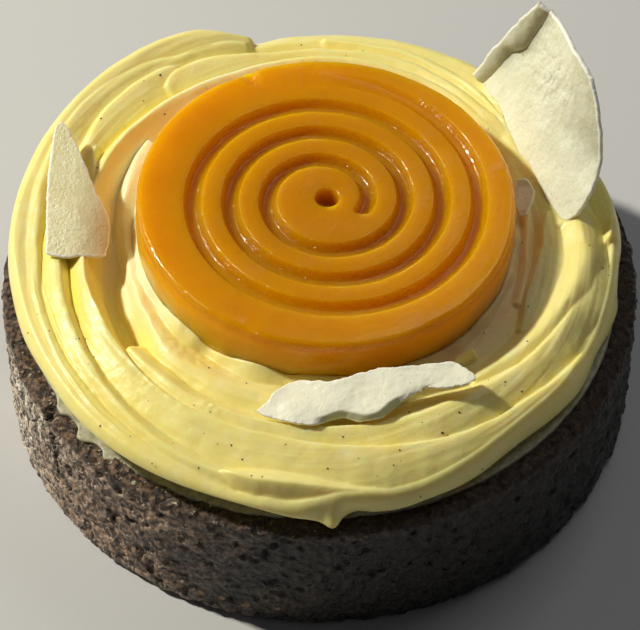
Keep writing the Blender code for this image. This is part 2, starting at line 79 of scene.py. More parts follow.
# Each ribbon's crest: angle, radius on that plane, height, and the distance inwards and
# outwards over which it falls by one millimetre; a row that stops early ends like the one before
RIBBONS = {
    "outer": (
        (103.5, 36.6, 25.5, 2.4, 1.2), (106, 37.4, 26.2), (109, 38.7, 27.0, 2.6, 1.4),
        (113, 39.8, 27.7, 2.6, 1.6), (120, 40.6, 28.1, 2.4), (130, 40.5, 28.0), (142, 39.7, 27.4, 2.6),
        (155, 38.7, 26.8, 2.8), (170, 38.0, 26.1, 3.0, 1.7), (185, 37.7, 25.6, 3.2, 2.2),
        (205, 37.6, 25.1, 3.2, 2.8), (225, 37.8, 24.7, 2.4, 3.0), (238, 38.2, 24.3, 1.5),
        (248, 38.7, 24.0, 1.2, 2.8), (258, 39.2, 23.6, 1.1, 2.4), (265, 39.5, 23.3, 1.5, 2.0),
        (272, 39.5, 22.9, 2.2, 1.8), (285, 38.6, 22.8, 2.6, 1.5), (305, 37.6, 22.7, 2.4),
        (320, 37.4, 22.7, 2.2), (335, 37.2, 22.7, 2.0),
    ),
    "upper": (
        (104.5, 35.9, 26.0, 1.6, 1.0), (109, 36.9, 26.8, 1.8), (115, 37.1, 27.0, 1.8, 0.9),
        (120, 37.3, 27.3, 1.8, 0.8), (124, 38.1, 27.5, 2.0), (128, 38.6, 27.6, 2.2), (134, 38.8, 27.6, 2.4),
        (142, 38.7, 27.4), (150, 38.1, 27.1, 2.4, 1.0), (160, 37.0, 26.7, 2.0, 1.6),
        (170, 35.9, 26.2, 1.4, 2.4), (182, 35.1, 25.7, 1.0, 3.0), (195, 35.2, 25.4, 1.0, 3.2),
        (210, 35.5, 25.2), (222, 36.0, 25.0, 1.1), (235, 36.8, 24.6, 1.2, 3.0), (246, 37.3, 24.0, 1.4),
        (256, 38.0, 23.2, 1.6),
    ),
    "second": (
        (120.5, 35.6, 26.9, 1.6, 1.0), (123, 36.2, 27.2, 2.0, 0.9), (128, 36.4, 27.3, 2.4),
        (134, 36.2, 27.2, 2.6), (142, 35.3, 26.9, 2.4, 1.0), (152, 34.1, 26.5, 1.8, 1.2),
        (166, 32.8, 26.4, 1.0, 1.7), (185, 32.2, 26.2, 0.8, 2.0), (200, 32.5, 26.1),
        (212, 33.0, 25.9, 0.9, 1.7), (222, 33.8, 25.6, 1.1, 1.5), (234, 35.1, 25.1, 1.6, 1.2),
        (246, 36.2, 24.5, 2.0), (256, 36.9, 23.8),
    ),
    "fold": (
        (250.8, 36.1, 24.3, 0.7, 0.4), (253, 36.2, 24.9, 1.1, 0.5), (257, 36.4, 25.1, 1.7, 0.6),
        (262, 36.4, 25.1, 2.0), (268, 36.5, 24.7, 2.0, 0.8), (274, 37.1, 24.0, 1.8, 1.0),
        (279, 37.7, 23.2, 1.6, 1.4), (284, 38.1, 22.5, 1.6, 1.6),
    ),
    "lobe": (
        (34, 29.9, 24.4, 2.0, 1.4), (39, 30.4, 25.2, 1.8, 1.3), (44, 30.8, 25.9, 1.6, 1.2),
        (51, 31.3, 26.2, 1.6, 1.1), (62, 32.6, 26.2, 1.8, 1.0), (75, 33.5, 26.3), (90, 33.4, 26.5),
        (102, 33.6, 26.8, 1.6, 0.9), (108, 34.4, 27.1, 1.8), (114, 35.0, 27.2, 2.2),
        (120, 35.2, 27.2, 2.2, 0.8), (124, 34.6, 27.0, 2.0), (127, 33.2, 26.7, 1.6),
    ),
    "middle": (
        (33, 28.9, 24.2, 2.4, 1.4), (38, 29.2, 24.9, 2.2, 1.2), (43, 29.5, 25.6, 1.8, 1.0),
        (50, 30.0, 26.1, 1.4), (60, 30.9, 26.4), (75, 31.8, 26.8), (90, 32.1, 27.0),
        (108, 31.6, 27.4, 1.4, 0.9), (122, 31.4, 27.6, 1.3), (136, 31.2, 27.4, 1.1),
        (150, 30.8, 27.0, 1.0, 1.0), (168, 29.6, 26.6, 0.7, 1.2), (190, 29.1, 26.6, 0.5, 1.3),
        (203, 28.9, 26.4, 0.5, 2.0), (216, 29.1, 26.0, 0.6, 2.6), (234, 29.6, 25.6, 0.8, 2.8),
        (250, 29.8, 25.4, 0.9), (262, 30.0, 25.3, 0.8, 3.0), (270, 30.7, 25.1, 0.7),
        (280, 31.5, 25.0, 0.7, 2.8), (290, 32.5, 24.9, 0.7, 2.4), (300, 33.5, 24.7, 0.7, 2.2),
        (308, 34.0, 24.5, 0.7, 2.0), (316, 34.5, 24.4, 0.8, 1.8), (324, 35.2, 24.2, 0.9),
        (331, 36.1, 24.0, 0.9, 1.6), (336, 36.9, 23.6, 0.9, 1.4),
    ),
    "inner": (
        (214, 28.0, 25.5, 1.4, 1.3), (222, 27.9, 25.7, 1.4, 1.4), (234, 28.0, 25.7, 1.4, 1.5),
        (250, 28.0, 25.6, 1.2, 2.0), (264, 28.0, 25.3, 1.0, 2.4), (280, 28.3, 25.1, 1.0, 2.6),
        (288, 28.6, 25.4, 1.6), (296, 28.9, 25.8, 2.0), (304, 29.2), (312, 29.6, 25.5, 1.4, 2.4),
        (322, 30.5, 25.3, 0.9), (332, 31.4, 25.2, 0.8, 2.2), (340, 32.2, 25.1, 0.8, 2.0),
        (347, 33.2, 24.9, 0.9, 2.4), (353, 34.2, 24.8, 0.9, 2.0), (357, 35.0, 24.4, 0.9, 1.6),
    ),
    "right": (
        (310, 27.8, 24.5, 1.8, 1.3), (318, 28.3, 24.7, 1.8, 1.6), (330, 29.6, 25.0, 2.0),
        (340, 30.8, 25.4, 2.2), (350, 32.0, 25.8, 2.2, 1.8), (0, 32.9, 26.0, 2.0), (8, 32.6, 25.9, 1.8),
        (14, 31.8, 25.6, 1.6, 1.6),
    ),
    "back_edge": (
        (345, 36.6, 23.6, 1.6, 1.2), (354, 36.4, 24.0), (1, 36.6, 24.4), (12, 37.0, 24.5, 1.8),
        (35, 36.6, 24.9, 2.0, 1.4), (60, 36.1, 25.2, 1.8, 1.6), (80, 35.9), (92, 35.2, 25.0),
        (103, 34.9, 25.0, 1.8, 1.4), (112, 34.8),
    ),
    "back_blob": (
        (1.5, 35.9, 25.1, 0.8, 0.7), (5, 36.6, 25.3), (8.5, 37.0, 25.1),
    ),
    "back_ridge": (
        (40, 31.2, 25.2, 1.2, 1.2), (47, 32.2, 25.8, 1.0, 1.0), (60, 33.9, 25.8, 1.0, 1.1),
        (75, 34.9, 25.7, 1.0, 1.2), (90, 35.4, 25.4),
    ),
    "mound": (
        (140, 28.0, 25.9, 2.0, 0.7), (147, 27.4, 25.8), (154, 26.6, 25.5, 2.0, 0.8),
        (161, 25.8, 24.7, 2.0, 1.0), (168, 25.2, 23.6, 2.0, 1.2), (177, 24.2, 22.9, 2.4, 1.0),
        (186, 23.6, 23.6, 2.4, 0.7), (194, 23.5, 24.6, 2.4, 0.6), (205, 23.7, 25.1),
        (214, 24.0, 25.2, 2.4, 1.0), (222, 24.4, 25.2, 2.4, 1.6), (236, 24.4, 25.1, 2.4, 2.0), (250, 24.2),
        (280, 24.4, 24.8, 2.4, 1.8), (305, 25.0, 24.5, 2.4, 1.6),
    ),
    "hug": (
        (149, 33.2, 26.4, 0.9, 1.0), (153, 32.3, 26.9), (157, 31.1, 26.8, 0.9, 0.9),
        (160, 30.3, 26.5, 0.8, 0.8),
    ),
    "lump": (
        (330, 28.0, 24.2, 1.2, 6.0), (335, 27.4, 24.6, 0.9), (341, 26.7, 24.9, 0.7), (348, 26.6, 25.0),
        (355, 27.1, 25.1, 0.8, 5.0), (1, 27.8, 25.1, 0.9, 4.0), (7, 28.3, 25.0, 1.0, 3.0),
        (12, 29.2, 24.9, 1.2),
    ),
    "chip_foot": (
        (6, 31.4, 25.2, 3.0, 1.6), (11, 30.4, 24.8, 4.0), (18, 29.9, 24.8, 4.5), (25, 30.0, 24.9),
        (32, 30.3, 25.0, 4.0), (38, 31.2, 25.3, 3.0), (44, 32.7, 25.7, 2.0), (52, 34.7, 25.7, 1.6),
    ),
    "low_lump": (
        (338, 25.9, 24.1, 1.4, 1.2), (350, 25.6, 24.2), (2, 25.8, 24.3), (16, 26.6, 24.5, 1.4, 1.4),
    ),
    "spike": (
        (311, 24.4, 24.8, 1.2, 0.5), (316, 24.4, 25.2, 0.9), (319.5, 24.7, 25.4, 0.5, 0.4),
    ),
}
RIBBON_WANDER = ((0.13, 4.0, 1), (0.06, 1.6, 2))
RIBBON_BLEND = 0.05
RIBBON_END = 1.2
RIBBON_LEAST = 15.0
CREST_ROUND = 0.28

# Fine creases along the ribbons: angle and radius on the reading plane
CREASES = (
    ((186, 35.5), (200, 35.6), (212, 35.9), (222, 36.4), (234, 36.9)),
    ((188, 34.4), (200, 34.4), (212, 34.8), (224, 35.3)),
    ((192, 29.1), (203, 28.9), (214, 28.9), (226, 29.5), (240, 29.7)),
    ((222, 26.0), (228, 26.3), (233, 26.4)),
    ((199, 28.4), (207, 28.0), (213, 27.8)),
    ((184, 38.2), (196, 38.0), (208, 38.1)),
    ((40, 31.2), (48, 32.4), (58, 33.8), (66, 34.7), (76, 35.1)),
    ((252, 34.9), (257, 34.8), (264, 34.9)),
)
CREASE_LEVEL = READ_LEVEL + 0.6
CREASE_HEIGHT = 0.16
CREASE_WIDTH = 0.2
CREASE_FADE = 4.0

# The cream's bed between the ribbons falls towards the rim, and lies deeper in a trench at the left
BED_HEIGHT = 23.6
BED_FALL = 1.4
BED_EDGE = (33.0, 38.5)
TRENCH_ARC = (160.0, 170.0, 210.0, 226.0)
TRENCH_EDGE = (28.0, 30.0)
TRENCH_DEPTH = 2.2

# Lower edge of the cream as seen: angle, radius on the reading plane, height of its widest
# line, and how far in from there its shoulder is; a row that stops early ends like the one before
CREAM_EDGE = (
    (103, 35.0, 20.6, 1.3), (108, 35.3, 20.6, 1.1), (114, 35.9, 20.6, 0.7), (120, 36.1), (130, 36.6),
    (140, 37.1), (150, 37.6), (160, 38.1, 20.6, 0.8), (168, 38.5, 20.8, 0.9), (177, 38.8, 21.3, 1.0),
    (190, 38.7, 22.1, 1.2), (200, 38.9, 22.7), (210, 39.0, 22.9), (220, 39.6, 23.0), (230, 40.1),
    (240, 40.4, 22.9), (250, 40.6, 22.7), (256, 40.9, 22.4), (259, 41.2, 22.1), (265, 42.0, 21.4, 1.3),
    (270, 42.6, 20.8), (272.6, 43.5, 20.5), (274.2, 42.1, 20.4), (276, 41.4), (280, 41.7), (284, 41.8),
    (290, 41.3, 20.5), (297, 40.8, 20.6), (302, 40.2), (306, 39.6), (311, 39.1), (322, 39.0), (328, 38.9),
    (333, 38.4), (337, 37.9), (345, 38.0), (350, 38.0), (354, 37.4), (358, 37.2), (365, 37.7, 20.6, 1.2),
    (371, 37.7), (380, 36.8), (390, 36.0, 20.6, 1.3), (405, 35.1), (420, 34.5), (435, 34.1), (450, 34.0),
    (463, 35.0),
)
CREAM_ROUND = 1.2
CREAM_TUCK = 0.8
CREAM_GAP = 0.3
EDGE_CALM = 34

# Patches of grainy cream: angle and radius of the middle, half width in degrees and in radius
GRAINY_PATCHES = (
    (221, 23.2, 5, 1.3), (232, 23.0, 4, 1.3), (243, 28.2, 4, 1.0), (237, 38.6, 7, 0.9), (209, 24.6, 5, 0.6),
    (217, 35.5, 8, 0.5), (226, 30.0, 8, 0.6), (204, 35.2, 8, 0.4), (200, 32.6, 9, 0.4), (246, 23.6, 4, 0.8),
)
CREAM_GRAINS = ((0.09, 0.55, 10),)
CREAM_STREAKS = ((0.042, (0.6, 12.0, 1.0), 3), (0.020, (0.3, 7.0, 1.0), 4))
CREAM_LUMPS = ((0.05, 2.6, 5), (0.02, 0.9, 6))
FLOW_RADIUS = 35.0
FLOW_STRETCH = 14.0

# How high the cream climbs the disc's side: angle and height
COLLAR = (
    (15, 24.4), (60, 25.2), (100, 25.6), (140, 25.4), (158, 25.0), (166, 23.8), (182, 23.8),
    (191, 25.0), (205, 25.2), (220, 25.8), (225, 25.6), (229, 24.5), (236, 24.9), (252, 25.7),
    (259, 24.9), (266, 25.3), (285, 24.8), (320, 24.4),
    (345, 24.1), (375, 24.4),
)
COLLAR_WAVES = ((0.25, 2.2, 7),)
COLLAR_SLOPE = 0.9
NEAR_DISC = 3.5
NEAR_DISC_LUMPS = ((0.03, 0.5, 8), (0.06, 1.1, 9))
UNDER_DISC = 0.4
BED_INSET = 0.6
BED_LIFT = 0.05

# The cream's mesh: points round it, and rings of its foot, its shoulder and its top
CREAM_STEPS = 800
FOOT_ROWS = 8
SHOULDER_ROWS = 16
CREAM_ROWS = 128

# Colour zones of the cream: paler beside the disc at the back left, painted light against the disc's orange
# bounce;
# painted shade beside the disc at the right; deep yellow painted as shade in the grooves between ribbons, and
# a deep yellow down the left side
PAINTED_LIGHT_ARC = (95.0, 110.0, 180.0, 235.0)
PAINTED_LIGHT_REACH = (2.5, 7.0)
DISC_SHADE_START = (286.0, 306.0)
DISC_SHADE_END = (15.0, 35.0)
DISC_SHADE_REACH = (0.5, 5.5)
DISC_SHADE_MOST = 0.8
DEEP_LEFT = 0.22
DEEP_LEFT_ARC = (180.0, 200.0, 228.0, 250.0)
GROOVE_SHADE_ARC = (100.0, 125.0, 215.0, 240.0)
GROOVE_SHADE_LEAST = 0.25
GROOVE_ROWS = 14
GROOVE_DROP = (0.25, 1.3)

# Vanilla seeds seen in the cream: angle and radius on the reading plane, and width
SPECKS = (
    (94, 34.5, 0.22), (125.5, 35.6, 0.30), (142.7, 35.2, 0.22), (132, 29.7, 0.22), (155.5, 30.9, 0.30),
    (201.5, 37.9, 0.22), (202.5, 35.4, 0.20), (207, 32.6, 0.22), (213, 32.3, 0.18), (227.2, 38.1, 0.22),
    (239.7, 38.8, 0.22), (247.5, 36.9, 0.20), (254.6, 34.1, 0.22), (251.4, 32.5, 0.24), (257.3, 36.1, 0.2),
    (259.3, 36.0, 0.2), (271.6, 34.2, 0.22), (275.3, 29.7, 0.24), (284.4, 34.8, 0.22), (286.6, 32.9, 0.2),
    (287, 40.0, 0.22), (296.5, 32.4, 0.30), (297.2, 33.0, 0.18), (302.5, 30.8, 0.32), (292.3, 28.0, 0.22),
    (316.5, 33.2, 0.24), (316, 30.8, 0.22), (328.8, 29.3, 0.22), (299, 39.2, 0.22), (354, 35.0, 0.24),
    (1, 25.1, 0.24), (0, 33.4, 0.2), (248, 23.3, 0.22), (235.5, 23.4, 0.22), (339, 27.2, 0.2),
    (325, 24.2, 0.2),
)
SPECK_EXTRA = 60
SPECK_SEED = 7
SPECK_SIDES = 10
SPECK_ROWS = 6
SPECK_TIP = 0.03

# Gel disc: rings, rounded edge, hole and the spiral groove
DISC_STEPS = 900
DISC_ROWS = 190
DISC_SIDE_ROWS = 18
DISC_EDGE_ROWS = 10
DISC_FADE_ROWS = 6
DISC_ROUND = 0.8
DISC_INSET = 0.12
DISC_OUTLINE = ((0.08, 6.0, 24), (0.03, 1.5, 26))
SIDE_WAVES = ((0.05, 1.8, 25),)
DISC_GRAIN = ((0.05, 3.5, 22), (0.008, 0.4, 23))
HOLE_RADIUS = 1.45
HOLE_DEPTH = 2.4
HOLE_ROUND = 0.35
HOLE_TAPER = 0.15
GROOVE_HALF = 1.12
GROOVE_DEPTH = 1.15
GROOVE_SOFT = 0.07
GROOVE_START = 5.0
GROOVE_PITCH = 4.6
GROOVE_FIRST = -20.0
GROOVE_LAST = 1180.0
GROOVE_FADE = 90.0
WALL_MIDDLE = 0.85
WALL_WIDTH = 0.4
WALL_GRAIN = ((0.06, 0.6, 21),)
RIM_SHARE = 0.6

# Small nicks in the disc's upper edge: angle, width in degrees and depth
NICKS = ((115.5, 2.2, 0.75), (121.0, 3.5, 0.25), (14.0, 1.5, 0.15), (300.0, 3.0, 0.12), (245.0, 2.5, 0.1))
NICK_REACH = 1.5

# Shell: its crumb, the side of its wall painted paler for dust and light and darker elsewhere as painted
# shade, the stretch with a painted sheen, and where crumbs of filling lie
SHELL_STEPS = 1000
RIM_ROWS = 22
WALL_ROW = 0.2
WALL_CRUMB = ((0.20, 1.3, 32), (0.18, 0.7, 33), (0.08, 0.45, 34))
PIT_DEPTH = 0.45
RIM_CRUMB = ((0.30, 1.5, 35), (0.16, 0.7, 36), (0.08, 0.4, 38))
RIM_FADE = (0.9, 0.75, 0.5, 0.3, 0.15)
DUST_AND_LIGHT_ARC = (95.0, 140.0, 226.0, 268.0)
DUST_AND_LIGHT_FULL = (160.0, 186.0)
SIDE_DRIFT = ((14.0, 5.0, 39), (6.0, 1.5, 40))
SMEARED_ARC = (196.0, 212.0, 250.0, 275.0)
LIT_SHEEN_ARC = (174.0, 190.0, 196.0, 224.0)

# Small tan specks on the wall: angle, height and half width
TAN_SPECKS = (
    (244.3, 3.1, 0.40), (248.5, 2.9, 0.50), (252.8, 3.3, 0.45), (257.1, 3.2, 0.50), (238.0, 2.6, 0.25),
    (262.5, 3.4, 0.30), (215.4, 17.6, 0.70),
)
TAN_EDGE = ((0.35, 0.5, 46),)

# The crack in the wall, which leans and is widest at the rim
CRACK_ANGLE = 213.4
CRACK_LENGTH = 11.0
CRACK_LEAN = 11.0
CRACK_DEPTH = 1.9
CRACK_HALF = 0.32
CRACK_WIDEN = 0.60
CRACK_WAVE = ((0.25, 1.5, 31),)

# How far the filling is smeared out over the rim: angle and distance
SMEARS = (
    (190, 0.0), (205, 0.0), (211.5, 0.2), (214, 0.9), (216.5, 0.3), (219.5, 0.5), (221.5, 1.6), (223.5, 0.6),
    (226, 0.4), (227.7, 1.1), (230, 0.3), (233, 0.3), (238, 0.35), (244, 0.4), (250, 0.35), (256, 0.3),
    (261, 0.2), (265, 0.0), (550, 0.0),
)
SMEAR_EDGE = ((0.25, 1.6, 41), (0.12, 0.7, 42))
FILLING_ROWS = 34
FILLING_INNER = 30.0
FILLING_LUMPS = ((0.12, 1.2, 43), (0.08, 0.5, 44))

# Standing chips: start of the lower edge, the way it runs and its slope, in degrees, and the
# outline's four edges as places along the foot line and heights up the slope
CHIPS = {
    "right": {
        "foot": (22.0, 25.2, 25.5), "heading": -65.5, "lean": 75.0, "thick": 0.65, "grain": 0.035,
        "low": (
            (-3.5, 0.5), (-1.7, -0.1), (2.3, 0.1), (5.0, -0.4), (6.6, -1.4), (9.0, -1.1), (13.5, -0.6),
            (17.4, -1.0), (20.8, -1.6), (22.4, -1.1), (23.4, 0.0)),
        "right": (
            (23.4, 0.0), (24.0, 1.6), (24.2, 3.4), (24.1, 4.9), (23.3, 8.2), (21.8, 11.0), (20.2, 13.4),
            (18.2, 15.5), (16.4, 17.1)),
        "high": ((2.7, 17.8), (4.3, 17.3), (6.5, 17.6), (10.3, 17.9), (13.4, 17.8), (16.4, 17.1)),
        "left": ((-3.5, 0.5), (-2.9, 2.9), (-2.7, 5.1), (-1.5, 8.0), (0.1, 12.6), (1.6, 15.7), (2.7, 17.8)),
    },
    "left": {
        "foot": (-33.6, -2.6, 26.6), "heading": 0.0, "lean": 9.0, "thick": 0.55, "grain": 0.012,
        "low": (
            (0.0, 0.0), (0.8, -0.5), (1.8, -0.75), (3.7, -0.6), (5.1, -0.5), (6.2, -0.3), (7.2, 0.3)),
        "right": (
            (7.2, 0.3), (7.5, 2.4), (7.5, 5.0), (6.9, 7.0), (6.0, 8.7), (4.4, 12.8), (2.8, 16.6),
            (2.0, 18.2)),
        "high": ((0.3, 18.4), (1.1, 19.2), (2.0, 18.2)),
        "left": ((0.0, 0.0), (-0.2, 4.8), (-0.3, 9.0), (-0.1, 14.3), (0.3, 18.4)),
    },
}
STANDING_GRID = (150, 120)
CHIP_DRIFT = ((1.2, 2.5, 81), (0.5, 1.0, 82))
RIGHT_GRAIN = ((0.12, (0.8, 1.3, 1.0), 59), (0.10, (0.45, 0.7, 1.0), 60))

# Where the right chip's left edge starts to fold over: height and place along the foot line
RIGHT_CREASE = (
    (-2.0, -3.4), (0.0, -2.2), (5.4, -0.6), (7.4, 0.1), (8.2, 0.9), (9.0, 1.5), (12.0, 2.4), (18.0, 4.2))

# The lying chip's edges, x and y, read off on one level
LYING_EDGES = {
    "high": (
        (-5.7, -24.5), (-4.9, -23.6), (-2.8, -22.4), (1.6, -22.3), (4.6, -21.2), (7.3, -20.35), (10.2, -20.1),
        (13.1, -19.8), (15.4, -19.4), (17.4, -20.3)),
    "low": (
        (-7.6, -26.9), (-6.0, -27.9), (-3.4, -28.6), (-0.9, -29.0), (2.6, -27.9), (5.5, -28.4), (7.2, -27.8),
        (8.6, -26.5), (10.7, -24.5), (12.6, -23.5), (15.2, -23.4), (17.3, -22.8)),
    "left": ((-7.6, -26.9), (-6.4, -25.8), (-5.7, -24.5)),
    "right": ((17.3, -22.8), (18.5, -22.0), (17.4, -20.3)),
}
LYING_READ = 26.4
LYING_THICK = 0.42
LYING_GRID = (190, 90)
LYING_WAVES = ((0.12, 3.0, 65), (0.025, 0.8, 66))

# Heights of its near and far edge by place across, which move them along the sight line
LYING_LEVELS = (
    (-8.0, 25.9, 26.1), (-5.5, 25.8, 26.4), (0.0, 25.8, 27.1), (5.0, 26.0, 27.8), (9.0, 26.8, 28.1),
    (13.0, 27.3, 28.1), (18.6, 27.5, 27.9),
)

# Line along which the lying chip's front edge is bent down: x and y
FLAP = (
    (-8.0, -28.4), (-1.0, -28.0), (0.8, -27.4), (2.2, -26.8), (4.0, -27.0), (5.6, -27.3), (7.2, -26.6),
    (8.4, -25.3), (9.4, -24.6), (19.0, -23.4),
)
FLAP_REACH = (-1.0, 1.0, 8.5, 10.5)
FLAP_SLOPE = 0.55

# The scrap beside the disc: its edges, x and y
FRAGMENT_EDGES = {
    "low": ((24.4, 5.6), (25.2, 4.4), (25.9, 4.6)),
    "right": ((25.9, 4.6), (26.7, 6.6), (26.9, 7.8)),
    "high": ((24.5, 9.3), (25.8, 9.4), (26.9, 7.8)),
    "left": ((24.4, 5.6), (24.2, 7.6), (24.5, 9.3)),
}
FRAGMENT_GRID = (50, 60)
FRAGMENT_THICK = 0.45
FRAGMENT_LEVEL = 25.4
FRAGMENT_SLOPE = 0.30


def smooth_path(path, spots):
    """Smooth values along a path whose first column is the place along it."""
    keys = np.array(path, dtype=float)
    places = keys[:, 0]
    values = keys[:, 1:]
    slopes = np.gradient(values, places, axis=0)
    index = np.clip(np.searchsorted(places, spots) - 1, 0, len(places) - 2)
    span = places[index + 1] - places[index]
    share = np.clip((spots - places[index]) / span, 0.0, 1.0)[..., None]
    start, end = values[index], values[index + 1]
    leave = slopes[index] * span[..., None]
    arrive = slopes[index + 1] * span[..., None]
    curve = (2 * share**3 - 3 * share**2 + 1) * start + (share**3 - 2 * share**2 + share) * leave
    return curve + (3 * share**2 - 2 * share**3) * end + (share**3 - share**2) * arrive


def round_path(path, angle):
    """A smooth path's values at each angle, for a path that goes once round the axis."""
    return smooth_path(path, np.where(angle < path[0][0], angle + 360.0, angle))


def filled(keys):
    """The rows, each that stops early ended by the values of the row before."""
    rows = [keys[0]]
    for key in keys[1:]:
        rows.append(key + rows[-1][len(key) :])
    return rows


def hashed(cells, seed):
    """A repeatable random number between -1 and 1 for each cell of a 3-D lattice."""
    mixed = cells[..., 0] * 73856093 ^ cells[..., 1] * 19349663 ^ cells[..., 2] * 83492791
    mixed = (mixed ^ (seed * 2654435761)) & 0xFFFFFFFF
    mixed = ((mixed ^ (mixed >> 15)) * 2246822519) & 0xFFFFFFFF
    mixed = ((mixed ^ (mixed >> 13)) * 3266489917) & 0xFFFFFFFF
    return ((mixed ^ (mixed >> 16)) & 0xFFFF) / 32767.5 - 1.0


def noise(points, size, seed):
    """Smooth noise between -1 and 1; size is the bump's width, one number or one per axis."""
    spots = points / np.asarray(size, dtype=float)
    base = np.floor(spots).astype(np.int64)
    share = spots - base
    share = share**3 * (share * (share * 6 - 15) + 10)
    total = np.zeros(points.shape[:-1])
    for corner in np.ndindex(2, 2, 2):
        weight = np.prod(np.where(corner, share, 1 - share), axis=-1)
        total += weight * hashed(base + np.array(corner), seed)
    return total


def rough(points, layers):
    """A sum of noises, each given as its height, its bump's width and its seed."""
    return sum(height * noise(points, size, seed) for height, size, seed in layers)


def step(low, high, value):
    """0 below low, 1 above high, smooth between."""
    share = np.clip((value - low) / (high - low), 0.0, 1.0)
    return share * share * (3 - 2 * share)


def zone(value, start, full, fade, end):
    """0 before start and after end, 1 from full to fade, smooth between."""
    return step(start, full, value) * (1 - step(fade, end, value))


def ring_points(turn, radius, height):
    """Points round the axis; radius and height are one number or one for each point."""
    radius = radius + 0 * turn
    return np.stack([radius * np.cos(turn), radius * np.sin(turn), height + 0 * radius], axis=-1)


def seen_to_true(angle, radius, height):
    """Where the sight line through a spot on the reading plane comes to a height."""
    seen = ring_points(np.radians(angle), radius, READ_LEVEL)
    share = (height - READ_LEVEL) / (EYE[2] - READ_LEVEL)
    return seen + (EYE - seen) * np.asarray(share)[..., None]


def true_path(keys):
    """A ribbon's keys with true angles and radii, its angles rising past 360 where it must."""
    rows = np.array(filled(keys), dtype=float)
    points = seen_to_true(rows[:, 0], rows[:, 1], rows[:, 2])
    angle = np.degrees(np.unwrap(np.arctan2(points[:, 1], points[:, 0])))
    angle += 360.0 * math.ceil(-angle[0] / 360.0)
    return np.column_stack([angle, np.hypot(points[:, 0], points[:, 1]), rows[:, 2:]])


TRUE_RIBBONS = [true_path(keys) for keys in RIBBONS.values()]
TRUE_CREASES = [true_path([(*key, CREASE_LEVEL) for key in keys]) for keys in CREASES]
EDGE_PATH = filled(CREAM_EDGE)


def disc_reach(turn):
    """Distance from the axis to the gel disc's edge."""
    x, y = DISC_CENTRE
    along = x * np.cos(turn) + y * np.sin(turn)
    across = x * np.sin(turn) - y * np.cos(turn)
    return along + np.sqrt(DISC_RADIUS**2 - across**2)


def disc_level(x, drop):
    """Height of the disc's sloping top, or of a plane that lies lower by a drop."""
    return DISC_TOP - drop - (x - DISC_CENTRE[0]) * DISC_SLOPE


def ribbons_height(angle, radius):
    """Height of the highest ribbon at each spot, softly joined where two meet."""
    trench = zone(angle, *TRENCH_ARC) * (1 - step(*TRENCH_EDGE, radius))
    bed = BED_HEIGHT - BED_FALL * step(*BED_EDGE, radius) - TRENCH_DEPTH * trench
    total = np.exp(bed / RIBBON_BLEND)
    flat = math.hypot(1.0, CREST_ROUND) - CREST_ROUND
    for path in TRUE_RIBBONS:
        for spot in (angle, angle + 360.0):
            outside = np.maximum(path[0, 0] - spot, spot - path[-1, 0])
            if outside.min() > 3 * RIBBON_END:
                continue
            crest, height, inward, outward = smooth_path(path, spot).T
            away = radius - crest
            slope = np.abs(away) / np.where(away < 0, inward, outward)
            drop = np.where(away < 0, (np.hypot(slope, CREST_ROUND) - CREST_ROUND) / flat, slope**1.5)
            sunk = np.clip((outside + RIBBON_END) / RIBBON_END, 0.0, 6.0) ** 2
            total += np.exp(np.maximum(height - drop - sunk, RIBBON_LEAST) / RIBBON_BLEND)
    return RIBBON_BLEND * np.log(total)


def creases_height(angle, radius):
    """Fine raised lines, each fading out at its ends."""
    total = np.zeros(radius.shape)
    for path in TRUE_CREASES:
        for spot in (angle, angle + 360.0):
            inside = np.minimum(spot - path[0, 0], path[-1, 0] - spot)
            if inside.max() < 0:
                continue
            away = radius - smooth_path(path, spot)[..., 0]
            total += CREASE_HEIGHT * step(0.0, CREASE_FADE, inside) * np.exp(-((away / CREASE_WIDTH) ** 2))
    return total


def grainy(angle, radius):
    """1 in the patches where the cream's skin is grainy, 0 elsewhere."""
    total = np.zeros(radius.shape)
    for middle, out, wide, deep in GRAINY_PATCHES:
        total += np.exp(-(((angle - middle) / wide) ** 2) - ((radius - out) / deep) ** 2)
    return np.minimum(total, 1.0)


def cream_height(angle, radius):
    """Height of the cream's top, with its small unevenness."""
    turn = np.radians(angle)
    spots = ring_points(turn, radius, 0.0)
    shifted = radius + rough(spots, RIBBON_WANDER)
    height = ribbons_height(angle, shifted) + creases_height(angle, shifted)
    along = np.stack([radius, turn * FLOW_RADIUS, radius * 0], axis=-1)
    height += rough(along, CREAM_STREAKS) + rough(spots, CREAM_LUMPS)
    reach = disc_reach(turn)
    near = np.clip(1 - (radius - reach) / NEAR_DISC, 0.0, 1.0)
    height += near * rough(spots, NEAR_DISC_LUMPS) + grainy(angle, radius) * rough(spots, CREAM_GRAINS)
    collar = round_path(COLLAR, angle)[..., 0] + rough(spots, COLLAR_WAVES)
    climb = collar - COLLAR_SLOPE * np.maximum(radius - reach, 0.0)
    return RIBBON_BLEND * np.logaddexp(height / RIBBON_BLEND, climb / RIBBON_BLEND)


def linked(name, data):
    """A new object in the scene."""
    made = bpy.data.objects.new(name, data)
    bpy.context.scene.collection.objects.link(made)
    return made


def mesh_object(name, vertices, faces, look):
    """A smooth-shaded object; vertices are in millimetres."""
    data = bpy.data.meshes.new(name)
    data.from_pydata((np.asarray(vertices) * MM).tolist(), [], faces)
    data.validate()
    data.shade_smooth()
    data.materials.append(look)
    return linked(name, data)


def paint(made, name, values):
    """A number for each vertex, which the material reads."""
    layer = made.data.attributes.new(name, "FLOAT", "POINT")
    layer.data.foreach_set("value", np.asarray(values, dtype=np.float32))


